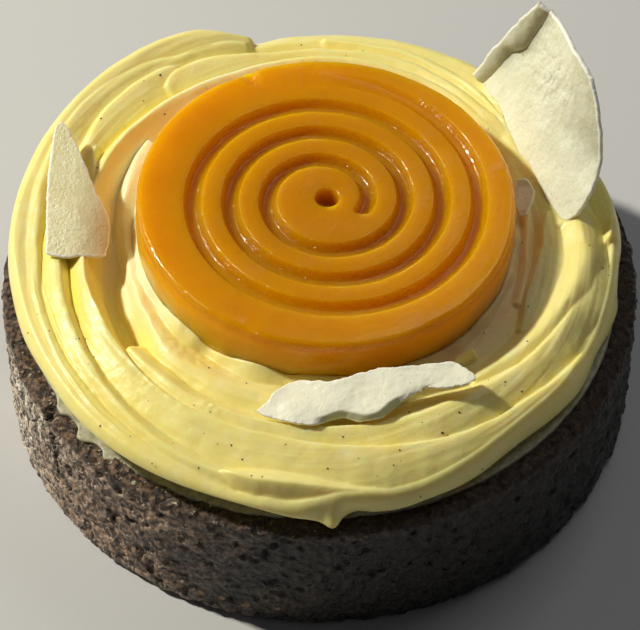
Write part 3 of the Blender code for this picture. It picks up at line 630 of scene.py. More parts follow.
def paint_flow(made):
    """Gives each vertex its radius and the length of arc to it, the latter drawn in."""
    places = np.array([vertex.co for vertex in made.data.vertices])
    radius = np.hypot(places[:, 0], places[:, 1])
    arc = np.arctan2(np.abs(places[:, 1]), places[:, 0]) * FLOW_RADIUS * MM
    flow = np.stack([radius, arc / FLOW_STRETCH, np.sign(places[:, 1]) * MM], axis=-1)
    layer = made.data.attributes.new("flow", "FLOAT_VECTOR", "POINT")
    layer.data.foreach_set("vector", flow.astype(np.float32).ravel())


def polar(made):
    """Each vertex's place in millimetres, its angle in degrees and its distance from the axis."""
    places = np.array([vertex.co for vertex in made.data.vertices]) / MM
    angle = np.degrees(np.arctan2(places[:, 1], places[:, 0])) % 360.0
    return places, angle, np.hypot(places[:, 0], places[:, 1])


class Rings:
    """Rings of points round the axis, from which one closed body is made."""

    def __init__(self, count):
        self.turn = np.arange(count) * 2 * math.pi / count
        self.rows = []

    def add(self, radius, height):
        self.rows.append(ring_points(self.turn, radius, height))

    def body(self, name, look, low, high):
        """The body; low and high are the heights of the points on the axis that close it."""
        count = len(self.turn)
        total = count * len(self.rows)
        row = np.arange(count)
        after = (row + 1) % count
        last = total - count
        faces = []
        for here in range(0, last, count):
            above = here + count
            faces += np.stack([row + here, after + here, after + above, row + above], axis=-1).tolist()
        faces += np.stack([after, row, row * 0 + total], axis=-1).tolist()
        faces += np.stack([row + last, after + last, row * 0 + total + 1], axis=-1).tolist()
        vertices = np.vstack([*self.rows, (0.0, 0.0, low), (0.0, 0.0, high)])
        return mesh_object(name, vertices, faces, look)


class Look:
    """A material's nodes: textures in the piece's own space, sizes in millimetres."""

    def __init__(self, name):
        self.material = bpy.data.materials.new(name)
        self.material.use_nodes = True
        self.nodes = self.material.node_tree.nodes
        self.links = self.material.node_tree.links
        self.shader = self.nodes["Principled BSDF"]
        self.place = self.nodes.new("ShaderNodeTexCoord").outputs["Object"]

    def fill(self, node, **values):
        """Puts each value on the socket of that name, or joins another node's output to it."""
        for name, value in values.items():
            socket = node.inputs[name.replace("_", " ")]
            if isinstance(value, bpy.types.NodeSocket):
                self.links.new(value, socket)
            else:
                socket.default_value = value

    def put(self, **values):
        self.fill(self.shader, **values)

    def node(self, kind, **values):
        made = self.nodes.new("ShaderNode" + kind)
        self.fill(made, **values)
        return made

    def grain(self, size, detail=3.0, coarse=0.6, place=None):
        """Cloudy noise whose bumps are about this many millimetres wide."""
        scale = 1.0 / (size * MM)
        spot = place or self.place
        return self.node("TexNoise", Scale=scale, Detail=detail, Roughness=coarse, Vector=spot).outputs["Fac"]

    def pebbles(self, size):
        """Round lumps with narrow gaps between them."""
        made = self.node("TexVoronoi", Scale=1.0 / (size * MM), Vector=self.place)
        made.feature = "SMOOTH_F1"
        return self.span(made.outputs["Distance"], 0.15, 0.75, 1.0, 0.0)

    def attribute(self, name, output="Fac"):
        """A value painted on the piece."""
        made = self.node("Attribute")
        made.attribute_name = name
        return made.outputs[output]

    def span(self, value, low, high, start=0.0, end=1.0):
        """A value from start to end, as the one given goes from low to high."""
        made = self.node("MapRange", Value=value, From_Min=low, From_Max=high, To_Min=start, To_Max=end)
        made.interpolation_type = "SMOOTHSTEP"
        return made.outputs["Result"]

    def blend(self, share, first, second):
        """A colour between two, each a colour or another node's output."""
        made = self.node("Mix")
        made.data_type = "RGBA"
        self.links.new(share, made.inputs[0])
        for socket, colour in ((made.inputs[6], first), (made.inputs[7], second)):
            if isinstance(colour, tuple):
                socket.default_value = (*colour, 1.0)
            else:
                self.links.new(colour, socket)
        return made.outputs[2]

    def times(self, first, second):
        made = self.node("Math")
        made.operation = "MULTIPLY"
        self.links.new(first, made.inputs[0])
        self.links.new(second, made.inputs[1])
        return made.outputs["Value"]

    def bump(self, *layers):
        """Relief from pairs of a texture and its height in millimetres."""
        normal = None
        for value, height in layers:
            made = self.node("Bump", Distance=height * MM, Height=value)
            if normal:
                self.links.new(normal, made.inputs["Normal"])
            normal = made.outputs["Normal"]
        self.put(Normal=normal)


def cream_material():
    look = Look("vanilla cream")
    wide = look.span(look.grain(9.0), 0.35, 0.65)
    mottle = look.span(look.grain(3.0), 0.4, 0.75)
    tone = look.blend(wide, (0.91, 0.81, 0.33), (0.89, 0.77, 0.26))
    tone = look.blend(look.times(mottle, wide), tone, (0.92, 0.85, 0.45))
    # Painted shade: deep yellow in the grooves, and a deep yellow tint down the left side
    tone = look.blend(look.attribute("deep"), tone, (0.98, 0.79, 0.15))
    # Painted light: paler beside the disc, offsetting its orange bounce and the shade there
    tone = look.blend(look.attribute("pale"), tone, (0.91, 0.88, 0.54))
    # Painted shade: darker and more orange where the disc's shade falls at the right
    tone = look.blend(look.attribute("disc_shade_tint"), tone, (0.82, 0.62, 0.33))
    look.put(Base_Color=tone, Roughness=look.span(look.grain(1.3), 0.3, 0.7, 0.30, 0.46), IOR=1.40)
    look.put(Subsurface_Weight=0.7, Subsurface_Radius=(1.0, 0.7, 0.25), Subsurface_Scale=0.0013)
    silk = look.grain(0.45, 3.0, 0.6, look.attribute("flow", "Vector"))
    look.bump((look.grain(1.1, 3.0, 0.6), 0.07), (silk, 0.022), (look.grain(0.32, 2.0), 0.022))
    return look.material


def cream():
    """The piped ring: its side, its ribbons and the bed under the disc."""
    rings = Rings(CREAM_STEPS)
    turn = rings.turn
    angle = np.degrees(turn)
    seen, low, narrow = round_path(EDGE_PATH, angle).T
    side = np.maximum(-np.sin(turn), 0.0) * SIGHT_SLOPE
    bulge = np.hypot(CREAM_ROUND, side * CREAM_ROUND) - CREAM_ROUND
    shift = (READ_LEVEL - low) * np.sin(turn) * SIGHT_SLOPE - bulge
    out = seen + shift
    spread = np.hanning(2 * EDGE_CALM + 1)
    around = np.concatenate([seen[-EDGE_CALM:], seen, seen[:EDGE_CALM]])
    calm = np.convolve(around, spread / spread.sum(), "valid") + shift
    shoulder = calm - narrow

    under = SHELL_HEIGHT + CREAM_GAP
    tuck = CREAM_ROUND + CREAM_TUCK * (low - low.min())
    for share in np.linspace(0.0, 1.0, FOOT_ROWS):
        rings.add(out - tuck * (1 - share) ** 0.9, under + (low - under) * share)
    crown = cream_height(angle, shoulder)
    for share in np.linspace(0.0, 1.0, SHOULDER_ROWS)[1:-1]:
        bend = share * math.pi / 2
        drip = (out - calm) * (1 - share) ** 4
        rings.add(calm - narrow * (1 - math.cos(bend)) + drip, low + (crown - low) * math.sin(bend))
    first_row = len(rings.rows)
    inside = disc_reach(turn) - UNDER_DISC
    for share in np.linspace(0.0, 1.0, CREAM_ROWS):
        radius = shoulder + (inside - shoulder) * share
        rings.add(radius, cream_height(angle, radius))
    bed = inside - BED_INSET
    rings.add(bed, disc_level(bed * np.cos(turn), DISC_THICK) + BED_LIFT)
    made = rings.body("cream_ring", cream_material(), under, disc_level(0.0, DISC_THICK))
    paint_flow(made)
    paint_cream(made, np.array(rings.rows)[..., 2], first_row)
    return made


def paint_cream(made, level, first_row):
    """Where light and shade are painted on the cream: paler near the disc, darker in the disc's shade and
    deep yellow in the grooves; level has each ring's heights.
    """
    _, around, radius = polar(made)
    from_disc = radius - disc_reach(np.radians(around))
    # Painted light: paler cream beside the disc at the back left, offsetting the disc's orange bounce
    paint(made, "pale", zone(around, *PAINTED_LIGHT_ARC) * (1 - step(*PAINTED_LIGHT_REACH, from_disc)))
    # Painted shade: a darker, more orange tone beside the disc at the right, where its shade falls
    shaded = step(*DISC_SHADE_START, around) + 1 - step(*DISC_SHADE_END, around)
    paint(made, "disc_shade_tint", DISC_SHADE_MOST * shaded * (1 - step(*DISC_SHADE_REACH, from_disc)))
    # Deep yellow painted as shade where a ring lies below nearby crests, and a deep yellow tint down the left
    # side
    top = level[first_row : first_row + CREAM_ROWS]
    crests = top.copy()
    for shift in range(1, GROOVE_ROWS):
        crests[shift:] = np.maximum(crests[shift:], top[:-shift])
        crests[:-shift] = np.maximum(crests[:-shift], top[shift:])
    angle = np.degrees(np.arange(CREAM_STEPS) * 2 * math.pi / CREAM_STEPS)
    deep = np.zeros(level.shape) + DEEP_LEFT * zone(angle, *DEEP_LEFT_ARC)
    least, most = GROOVE_DROP
    drop = np.clip((crests - top - least) / most, 0.0, 1.0)
    strength = GROOVE_SHADE_LEAST + (1 - GROOVE_SHADE_LEAST) * zone(angle, *GROOVE_SHADE_ARC)
    deep[first_row : first_row + CREAM_ROWS] += strength * drop
    ends = (0.0, 0.0)
    paint(made, "deep", np.append(np.minimum(deep, 1.0).ravel(), ends))


def cream_spot(angle, seen_radius):
    """The point of the cream's top that shows at a place on the reading plane."""
    level = READ_LEVEL
    for _ in range(12):
        spot = seen_to_true(angle, seen_radius, level)
        around = np.array([math.degrees(math.atan2(spot[1], spot[0])) % 360.0])
        level = 0.5 * level + 0.5 * float(cream_height(around, np.array([math.hypot(*spot[:2])]))[0])
    return np.array([spot[0], spot[1], level])


def specks():
    """Vanilla seeds half sunk in the cream, in one body."""
    draw = random.Random(SPECK_SEED)
    places = [(cream_spot(angle, radius), size) for angle, radius, size in SPECKS]
    for _ in range(SPECK_EXTRA):
        angle = draw.uniform(0.0, 360.0)
        places.append((cream_spot(angle, draw.uniform(28.5, 37.0)), draw.uniform(0.09, 0.16)))
    vertices, faces = [], []
    for middle, size in places:
        stretch = np.array([draw.uniform(0.8, 1.3), draw.uniform(0.8, 1.3), 0.7]) * size / 2
        first = len(vertices)
        for row in range(SPECK_ROWS + 1):
            tilt = math.pi * row / SPECK_ROWS
            across = SPECK_TIP if row in (0, SPECK_ROWS) else math.sin(tilt)
            for side in range(SPECK_SIDES):
                turn = 2 * math.pi * side / SPECK_SIDES
                ball = (across * math.cos(turn), across * math.sin(turn), math.cos(tilt))
                vertices.append(middle + stretch * ball)
        for row in range(SPECK_ROWS):
            here = first + row * SPECK_SIDES
            below = here + SPECK_SIDES
            for side in range(SPECK_SIDES):
                after = (side + 1) % SPECK_SIDES
                faces.append((here + side, below + side, below + after, here + after))
        last = first + SPECK_ROWS * SPECK_SIDES
        faces.append(tuple(first + side for side in range(SPECK_SIDES)))
        faces.append(tuple(last + side for side in reversed(range(SPECK_SIDES))))
    look = Look("vanilla seeds")
    tone = look.blend(look.span(look.grain(0.3), 0.3, 0.7), (0.035, 0.022, 0.012), (0.10, 0.06, 0.03))
    look.put(Base_Color=tone, Roughness=0.45)
    return mesh_object("vanilla_seeds", vertices, faces, look.material)


def camera():
    data = bpy.data.cameras.new("camera")
    made = linked("camera", data)
    made.location = Vector(EYE) * MM
    made.rotation_euler = (math.radians(CAMERA_TILT), 0.0, 0.0)
    data.lens = LENS
    data.sensor_width = SENSOR
    data.clip_start = 0.01
    bpy.context.scene.camera = made


def area_light(name, azimuth, elevation, distance, size, power, colour):
    """A square lamp that looks at the tart from a direction given as angles."""
    data = bpy.data.lights.new(name, "AREA")
    data.size = size
    data.energy = power
    data.color = colour
    made = linked(name, data)
    turn, rise = math.radians(azimuth), math.radians(elevation)
    away = Vector((math.cos(rise) * math.cos(turn), math.cos(rise) * math.sin(turn), math.sin(rise)))
    made.location = Vector(LAMP_TARGET) * MM + away * distance
    made.rotation_euler = away.to_track_quat("Z", "Y").to_euler()


def surroundings():
    """The plain floor, the pale world and the lamps."""
    data = bpy.data.meshes.new("floor")
    half = FLOOR_HALF
    corners = [(-half, -half, 0), (half, -half, 0), (half, half, 0), (-half, half, 0)]
    data.from_pydata(corners, [], [(0, 1, 2, 3)])
    look = Look("floor")
    look.put(Base_Color=(0.60, 0.60, 0.60, 1.0), Roughness=0.8)
    data.materials.append(look.material)
    linked("floor", data)
    world = bpy.data.worlds.new("studio")
    world.use_nodes = True
    world.node_tree.nodes["Background"].inputs["Color"].default_value = (0.95, 0.97, 1.0, 1.0)
    world.node_tree.nodes["Background"].inputs["Strength"].default_value = 0.045
    bpy.context.scene.world = world
    for lamp in LAMPS:
        area_light(*lamp)
    bpy.context.scene.view_settings.view_transform = "Standard"


def groove_distance(turn, radius):
    """Distance to the groove's middle line, and how far along it the nearest point is."""
    nearest = np.full(radius.shape, 99.0)
    place = np.full(radius.shape, GROOVE_LAST)
    for turns in range(-1, 5):
        along = np.degrees(turn) + 360.0 * turns
        away = radius - (GROOVE_START + GROOVE_PITCH * along / 360.0)
        behind = np.maximum(GROOVE_FIRST - along, 0.0) * math.pi / 180.0 * radius
        distance = np.hypot(away, behind)
        closer = (distance < nearest) & (along < GROOVE_LAST + GROOVE_FADE)
        nearest = np.where(closer, distance, nearest)
        place = np.where(closer, along, place)
    return nearest, place


def groove_wall(turn, radius):
    """1 on the groove's sloping walls and on the disc's rim, 0 well away from them."""
    away, place = groove_distance(turn, radius)
    wall = np.exp(-(((away - WALL_MIDDLE) / WALL_WIDTH) ** 2)) * (place < GROOVE_LAST - 0.5 * GROOVE_FADE)
    return np.maximum(wall, RIM_SHARE * step(DISC_RADIUS - 1.1, DISC_RADIUS - 0.5, radius))


def disc_relief(turn, radius):
    """Height of the disc's top against its flat level."""
    away, place = groove_distance(turn, radius)
    depth = GROOVE_DEPTH * np.clip((GROOVE_LAST - place) / GROOVE_FADE, 0.0, 1.0)
    raw = depth * 1.05 * (1 - (away / GROOVE_HALF) ** 3)
    cut = GROOVE_SOFT * np.logaddexp(0.0, raw / GROOVE_SOFT)
    cut = np.where(depth > 0.01, np.minimum(cut, GROOVE_DEPTH), 0.0)
    spots = ring_points(turn, radius, 0.0)
    return groove_wall(turn, radius) * rough(spots, WALL_GRAIN) + rough(spots, DISC_GRAIN) - cut


def gel_material():
    look = Look("orange gel")
    cloud = look.span(look.grain(7.0), 0.3, 0.7)
    middle = look.attribute("middle")
    wall = look.attribute("wall")
    land = look.blend(cloud, (0.69, 0.280, 0.0005), (0.64, 0.247, 0.0005))
    land = look.blend(middle, land, (0.60, 0.235, 0.0005))
    # Painted glow: the flank is lighter and more orange, for light shining through the gel
    land = look.blend(look.attribute("flank_glow"), land, (1.0, 0.400, 0.0005))
    # The grooves get their own tone, painted for the shade in them and to offset pinkish reflections
    groove = look.blend(middle, (0.66, 0.30, 0.0005), (0.54, 0.235, 0.0005))
    look.put(Base_Color=look.blend(look.attribute("groove"), land, groove))
    look.put(Roughness=look.span(wall, 0.05, 0.5, 0.24, 0.09), IOR=1.37)
    look.put(Subsurface_Weight=1.0, Subsurface_Radius=(1.0, 0.85, 0.06), Subsurface_Scale=0.010)
    beads = look.times(look.span(look.grain(0.40, 1.0), 0.42, 0.62), wall)
    dots = look.span(look.grain(0.55, 1.0), 0.74, 0.80)
    look.bump((beads, 0.06), (dots, 0.06), (look.grain(0.5, 2.0), 0.008), (look.grain(2.6), 0.06))
    return look.material


def gel_disc():
    """The disc, made level round the axis and then tilted and moved to its place."""
    rings = Rings(DISC_STEPS)
    turn = rings.turn
    edge = DISC_RADIUS - DISC_INSET + rough(ring_points(turn, DISC_RADIUS, 0.0), DISC_OUTLINE)
    chip_off = 0.0 * turn
    for angle, width, deep in NICKS:
        chip_off += deep * np.exp(-(((np.degrees(turn) - angle) / width) ** 2))
    rings.add(edge - 0.4, -DISC_THICK)
    rings.add(edge - 0.1, -DISC_THICK + 0.12)
    foot = -DISC_THICK + 0.4
    for share in np.linspace(0.0, 1.0, DISC_SIDE_ROWS):
        level = foot - (foot + DISC_ROUND) * share
        waves = rough(ring_points(turn, DISC_RADIUS, level), SIDE_WAVES)
        rings.add(edge + waves - DISC_INSET * (2 * share - 1) ** 2, level)
    for share in np.linspace(0.0, 1.0, DISC_EDGE_ROWS)[1:]:
        bend = share * math.pi / 2
        nick = chip_off * math.sin(bend)
        inward = DISC_INSET + nick + DISC_ROUND * (1 - math.cos(bend))
        rings.add(edge - inward, -DISC_ROUND * (1 - math.sin(bend)) - nick)
    outer = edge - DISC_INSET - DISC_ROUND - chip_off
    inner = HOLE_RADIUS + HOLE_ROUND
    for share in np.linspace(0.0, 1.0, DISC_ROWS)[1:]:
        radius = outer + (inner - outer) * share
        near_edge = np.clip(1 - (outer - radius) / NICK_REACH, 0.0, 1.0)
        fade = min(1.0, (DISC_ROWS * share) / DISC_FADE_ROWS)
        rings.add(radius, disc_relief(turn, radius) * fade - chip_off * near_edge)
    for share in np.linspace(0.0, 1.0, 7)[1:]:
        bend = share * math.pi / 2
        rings.add(inner - HOLE_ROUND * math.sin(bend), -HOLE_ROUND * (1 - math.cos(bend)))
    for share in np.linspace(0.0, 1.0, 8)[1:]:
        rings.add(HOLE_RADIUS - HOLE_TAPER * share, -HOLE_ROUND - (HOLE_DEPTH - HOLE_ROUND) * share)
    made = rings.body("gel_round", gel_material(), -DISC_THICK, -HOLE_DEPTH - 0.1)
    places, around, radius = polar(made)
    height = places[:, 2]
    sunk = np.where(radius < DISC_RADIUS - 1.2, -height / GROOVE_DEPTH, 0.0)
    paint(made, "groove", np.clip(sunk, 0.0, 1.0))
    paint(made, "wall", np.where(height > -1.4, groove_wall(np.radians(around), radius), 0.0))
    paint(made, "middle", 1 - step(9.0, 20.0, radius))
    # Where the painted glow lies: down the disc's side
    paint(made, "flank_glow", step(0.6, 2.0, -height) * (radius > 20.0))
    tilt = math.atan(DISC_SLOPE)
    for vertex in made.data.vertices:
        x, y, z = vertex.co / MM
        turned_x = x * math.cos(tilt) + z * math.sin(tilt)
        turned_z = z * math.cos(tilt) - x * math.sin(tilt)
        vertex.co = Vector((turned_x + DISC_CENTRE[0], y + DISC_CENTRE[1], turned_z + DISC_TOP)) * MM
    return made


def crust_material():
    look = Look("cocoa crust")
    pebbles = look.pebbles(0.85)
    # The side painted paler for dust and for the light on it, and the stretch with a painted sheen
    dust_and_light = look.attribute("dust_and_light")
    lit_sheen = look.attribute("lit_sheen")
    lumps = look.times(look.span(look.grain(0.7, 4.0, 0.7), 0.36, 0.56), look.span(pebbles, 0.15, 0.7))
    dark = look.blend(look.span(look.grain(3.0), 0.35, 0.65), (0.026, 0.016, 0.011), (0.070, 0.042, 0.028))
    # Painted highlight: lumps paler where the painted sheen lies
    facing = look.blend(lit_sheen, (0.50, 0.325, 0.220), (0.90, 0.71, 0.54))
    body = look.blend(lumps, dark, facing)
    pale = look.times(look.span(look.grain(0.45, 2.0), 0.50, 0.58), look.span(look.grain(1.9), 0.40, 0.56))
    # Pale specks, partly crumbs and partly painted glints, paler still in the painted sheen
    body = look.blend(pale, body, look.blend(lit_sheen, (0.60, 0.46, 0.34), (1.0, 0.92, 0.78)))
    # Painted shade: away from the paler side the wall is near black
    deep = look.blend(lumps, (0.013, 0.011, 0.010), (0.034, 0.029, 0.025))
    body = look.blend(dust_and_light, deep, body)
    body = look.blend(look.attribute("tan"), body, (0.42, 0.25, 0.13))
    # Painted shade: the rim is darker away from the light
    rim_by_light = look.blend(dust_and_light, (0.075, 0.045, 0.030), (0.200, 0.118, 0.070))
    rim = look.blend(look.span(look.grain(0.9), 0.42, 0.62), (0.026, 0.015, 0.010), rim_by_light)
    crumbs = look.times(look.span(look.grain(0.7, 2.0), 0.62, 0.68), look.attribute("smeared"))
    rim = look.blend(crumbs, rim, (0.55, 0.50, 0.36))
    body = look.blend(look.attribute("rim"), body, rim)
    # Painted shade: the crack is near black inside
    look.put(Base_Color=look.blend(look.attribute("crack"), body, (0.010, 0.007, 0.005)))
    look.put(Roughness=look.span(look.grain(0.6), 0.35, 0.65, 0.18, 0.50))
    look.bump((pebbles, 0.30), (look.grain(0.7, 4.0, 0.7), 0.45), (look.grain(0.3, 3.0, 0.7), 0.14))
    return look.material


def crack_pull(turn, height):
    """How far the crack pulls the wall in."""
    lean = (SHELL_HEIGHT - height) * math.tan(math.radians(CRACK_LEAN))
    middle = math.radians(CRACK_ANGLE) + lean / SHELL_RADIUS
    wave = rough(ring_points(turn, 0.0, height), CRACK_WAVE)
    away = np.abs((turn - middle) * SHELL_RADIUS + wave)
    share = np.clip((height - SHELL_HEIGHT + CRACK_LENGTH) / CRACK_LENGTH, 0.0, 1.0)
    half = CRACK_HALF + CRACK_WIDEN * share**1.5
    return CRACK_DEPTH * share**0.5 * np.clip(1 - away / half, 0.0, 1.0) ** 0.4


def crust():
    """The shell: its foot, the crumbly wall with the crack, the rim and the inside."""
    rings = Rings(SHELL_STEPS)
    turn = rings.turn
    rings.add(SHELL_RADIUS - 4.0, 0.0)
    rings.add(SHELL_RADIUS - 1.2, 0.0)
    for height in np.arange(0.15, SHELL_HEIGHT - 0.5, WALL_ROW):
        foot = 0.7 * max(0.0, 1 - height / 1.2) ** 2
        spots = ring_points(turn, SHELL_RADIUS, height)
        pits = -PIT_DEPTH * step(0.4, 0.8, noise(spots, 1.1, 37))
        wall = np.minimum(SHELL_RADIUS - 0.36 + rough(spots, WALL_CRUMB) + pits, SHELL_RADIUS - 0.03)
        rings.add(wall - foot - crack_pull(turn, height), height)
    rim_start = len(rings.rows)
    pull = crack_pull(turn, SHELL_HEIGHT)
    for share in np.linspace(0.0, 1.0, RIM_ROWS):
        radius = SHELL_RADIUS - 0.5 - (SHELL_WALL + 0.4) * share
        crumb = rough(ring_points(turn, radius, SHELL_HEIGHT), RIM_CRUMB)
        arch = 0.3 * (1 - (2 * share - 1) ** 2)
        rings.add(radius - 0.5 * pull * (1 - share) ** 2, SHELL_HEIGHT - 0.35 + arch + crumb - 0.25 * pull)
    rim_end = len(rings.rows)
    rings.add(SHELL_RADIUS - SHELL_WALL, SHELL_HEIGHT - 1.4)
    rings.add(SHELL_RADIUS - SHELL_WALL, SHELL_FLOOR)
    made = rings.body("crust_cup", crust_material(), 0.0, SHELL_FLOOR)
    rim = np.zeros(len(made.data.vertices))
    rim[rim_start * SHELL_STEPS : rim_end * SHELL_STEPS] = 1.0
    for row, share in enumerate(RIM_FADE):
        rim[(rim_start - row - 1) * SHELL_STEPS : (rim_start - row) * SHELL_STEPS] = share
    paint(made, "rim", rim)
    places, around, _ = polar(made)
    # The wall is painted paler on its lit side, for dust and light, at half strength round the back and near
    # black elsewhere as painted shade; a stretch on the left gets a painted sheen
    drift = around + rough(places, SIDE_DRIFT)
    behind = 1 - step(*DUST_AND_LIGHT_FULL, drift)
    paint(made, "dust_and_light", (1 - 0.5 * behind) * zone(drift, *DUST_AND_LIGHT_ARC))
    paint(made, "smeared", zone(drift, *SMEARED_ARC))
    paint(made, "lit_sheen", zone(drift, *LIT_SHEEN_ARC))
    tan = np.zeros(len(places))
    for angle, height, half in TAN_SPECKS:
        across = np.radians(around - angle) * SHELL_RADIUS
        away = np.hypot(across, places[:, 2] - height) / half + rough(places, TAN_EDGE)
        tan = np.maximum(tan, 1 - step(0.7, 1.1, away))
    paint(made, "tan", tan)
    # Painted shade inside the crack, where it pulls the wall in
    torn = crack_pull(np.radians(around), places[:, 2])
    paint(made, "crack", np.clip(torn / 0.5, 0.0, 1.0) * (1 - rim))
    return made


def filling_material():
    look = Look("pale filling")
    # A dull grey, darker than the filling's own pale tone, painted as the shade under the cream's lip
    tone = look.blend(look.span(look.grain(1.0), 0.35, 0.65), (0.52, 0.50, 0.36), (0.36, 0.35, 0.24))
    look.put(Base_Color=tone, Roughness=0.5)
    look.put(Subsurface_Weight=0.4, Subsurface_Radius=(1.0, 0.9, 0.5), Subsurface_Scale=0.001)
    look.bump((look.grain(0.6, 4.0), 0.08))
    return look.material


def filling():
    """The filling inside the shell, with the smears that lie on the rim."""
    rings = Rings(SHELL_STEPS)
    turn = rings.turn
    reach = round_path(SMEARS, np.degrees(turn))[..., 0]
    inside = SHELL_RADIUS - SHELL_WALL
    jagged = 1 + rough(ring_points(turn, SHELL_RADIUS, 0.0), SMEAR_EDGE)
    spread = np.clip(reach * jagged - 0.1, -0.1, 2.1)
    rings.add(inside - 0.1, SHELL_FLOOR + 0.2)
    rings.add(inside - 0.1, SHELL_HEIGHT - 0.9)
    for share in np.linspace(0.0, 1.0, FILLING_ROWS):
        radius = inside + spread * (1 - share) + (FILLING_INNER - inside) * share**1.6
        rise = rough(ring_points(turn, radius, 0.0), FILLING_LUMPS)
        ease = min(1.0, share * 12)
        rings.add(radius, SHELL_HEIGHT - 0.15 + 0.35 * np.sqrt(ease) + rise * ease)
    return rings.body("filling_body", filling_material(), SHELL_FLOOR + 0.2, SHELL_HEIGHT + 0.2)


def coconut_material(name, first, second, thin_and_shade, relief=0.07, glow=0.3, lit_edge=(1.0, 0.99, 0.86)):
    """Dried coconut; each chip has its own tone, which also stands in for how that chip is lit."""
    look = Look(name)
    tone = look.blend(look.span(look.grain(4.0), 0.35, 0.65), first, second)
    # A duller tone where the chip is thinner or painted in shade
    tone = look.blend(look.attribute("thin_and_shade"), tone, thin_and_shade)
    flecks = look.span(look.grain(0.45, 1.0), 0.74, 0.80)
    # Painted highlight: lighter edges, where the chip's cut thickness catches the light
    tone = look.blend(look.attribute("edge"), tone, lit_edge)
    look.put(Base_Color=look.blend(flecks, tone, (0.50, 0.44, 0.27)))
    look.put(Roughness=look.span(look.grain(0.5), 0.35, 0.65, 0.20, 0.46))
    look.put(Subsurface_Weight=glow, Subsurface_Radius=(0.9, 1.0, 0.65), Subsurface_Scale=0.0008)
    coarse = look.times(look.grain(0.45, 3.0, 0.7), look.attribute("coarse"))
    look.bump((coarse, 2.5 * relief), (look.grain(0.5, 4.0, 0.7), relief), (look.grain(0.18, 2.0), 0.02))
    return look.material


def edge_points(keys, spread):
    """Points along a smooth line through the keys; spread runs from 0 to 1."""
    keys = np.array(keys, dtype=float)
    run = np.concatenate([[0.0], np.cumsum(np.linalg.norm(np.diff(keys, axis=0), axis=1))])
    return smooth_path(np.column_stack([run, keys]), run[-1] * spread)


def crowded(count):
    """Numbers from 0 to 1, closer together near both ends."""
    even = np.linspace(0.0, 1.0, count)
    return 0.35 * even + 0.65 * (0.5 - 0.5 * np.cos(math.pi * even))


def patch(edges, across, up):
    """Points of a surface stretched between four edges; low and high run the same way."""
    u_line, v_line = crowded(across), crowded(up)
    bottom, top = edge_points(edges["low"], u_line), edge_points(edges["high"], u_line)
    west, east = edge_points(edges["left"], v_line), edge_points(edges["right"], v_line)
    u, v = u_line[None, :, None], v_line[:, None, None]
    flat = (1 - v) * bottom[None] + v * top[None] + (1 - u) * west[:, None] + u * east[:, None]
    near = (1 - u) * (1 - v) * bottom[0] + u * (1 - v) * bottom[-1]
    return flat - (near + (1 - u) * v * top[0] + u * v * top[-1])


def grid_normals(points):
    normal = np.cross(np.gradient(points, axis=1), np.gradient(points, axis=0))
    return normal / np.linalg.norm(normal, axis=-1, keepdims=True)


def edge_distance(points):
    """Distance of each grid point from the nearest edge, measured along the grid."""
    nearest = []
    for axis in (0, 1):
        gaps = np.cumsum(np.linalg.norm(np.diff(points, axis=axis), axis=-1), axis=axis)
        start = np.insert(gaps, 0, 0.0, axis=axis)
        nearest.append(np.minimum(start, np.take(start, [-1], axis=axis) - start))
    return np.minimum(*nearest)


def sheet_object(name, middle, thick, look, thin_and_shade, coarse):
    """A closed slim body round a grid of points, with rounded edges; the last two arguments are
    painted on it and say where it is thinner or painted in shade, and where its face is rough."""
    normal = grid_normals(middle)
    rows, columns = middle.shape[:2]
    from_edge = edge_distance(middle)
    share = np.clip(from_edge / (0.6 * thick), 0.0, 1.0)
    half = (thick / 2 * (0.3 + 0.7 * np.sqrt(1 - (1 - share) ** 2)))[..., None]
    count = rows * columns
    index = np.arange(count).reshape(rows, columns)
    quads = np.stack([index[:-1, :-1], index[:-1, 1:], index[1:, 1:], index[1:, :-1]], axis=-1).reshape(-1, 4)
    faces = quads.tolist() + (quads[:, ::-1] + count).tolist()
    rim = np.concatenate([index[0, :-1], index[:-1, -1], index[-1, :0:-1], index[:0:-1, 0]])
    after = np.roll(rim, -1)
    faces += np.stack([after, rim, rim + count, after + count], axis=-1).tolist()
    vertices = np.concatenate([middle + normal * half, middle - normal * half]).reshape(-1, 3)
    made = mesh_object(name, vertices, faces, look)
    for layer, values in (("edge", 1 - step(0.1, 0.45, from_edge)), ("thin_and_shade", thin_and_shade), ("coarse", coarse)):
        paint(made, layer, np.tile(values.ravel(), 2))
    return made


def ragged(flat, size, amount, seed):
    """Moves the points near the edges a little, so the outline isn't smooth."""
    near = np.clip(1 - edge_distance(flat) / 1.2, 0.0, 1.0)[..., None]
    spots = flat_spots(flat)
    shift = np.stack([noise(spots, size, seed), noise(spots, size, seed + 1)], axis=-1)
    fine = np.stack([noise(spots, size / 3, seed + 2), noise(spots, size / 3, seed + 3)], axis=-1)
    return flat + near * amount * (shift + 0.5 * fine)


def flat_spots(flat):
    """The points of a flat grid with a third coordinate of 0."""
    return np.concatenate([flat[..., :2], flat[..., :1] * 0], axis=-1)


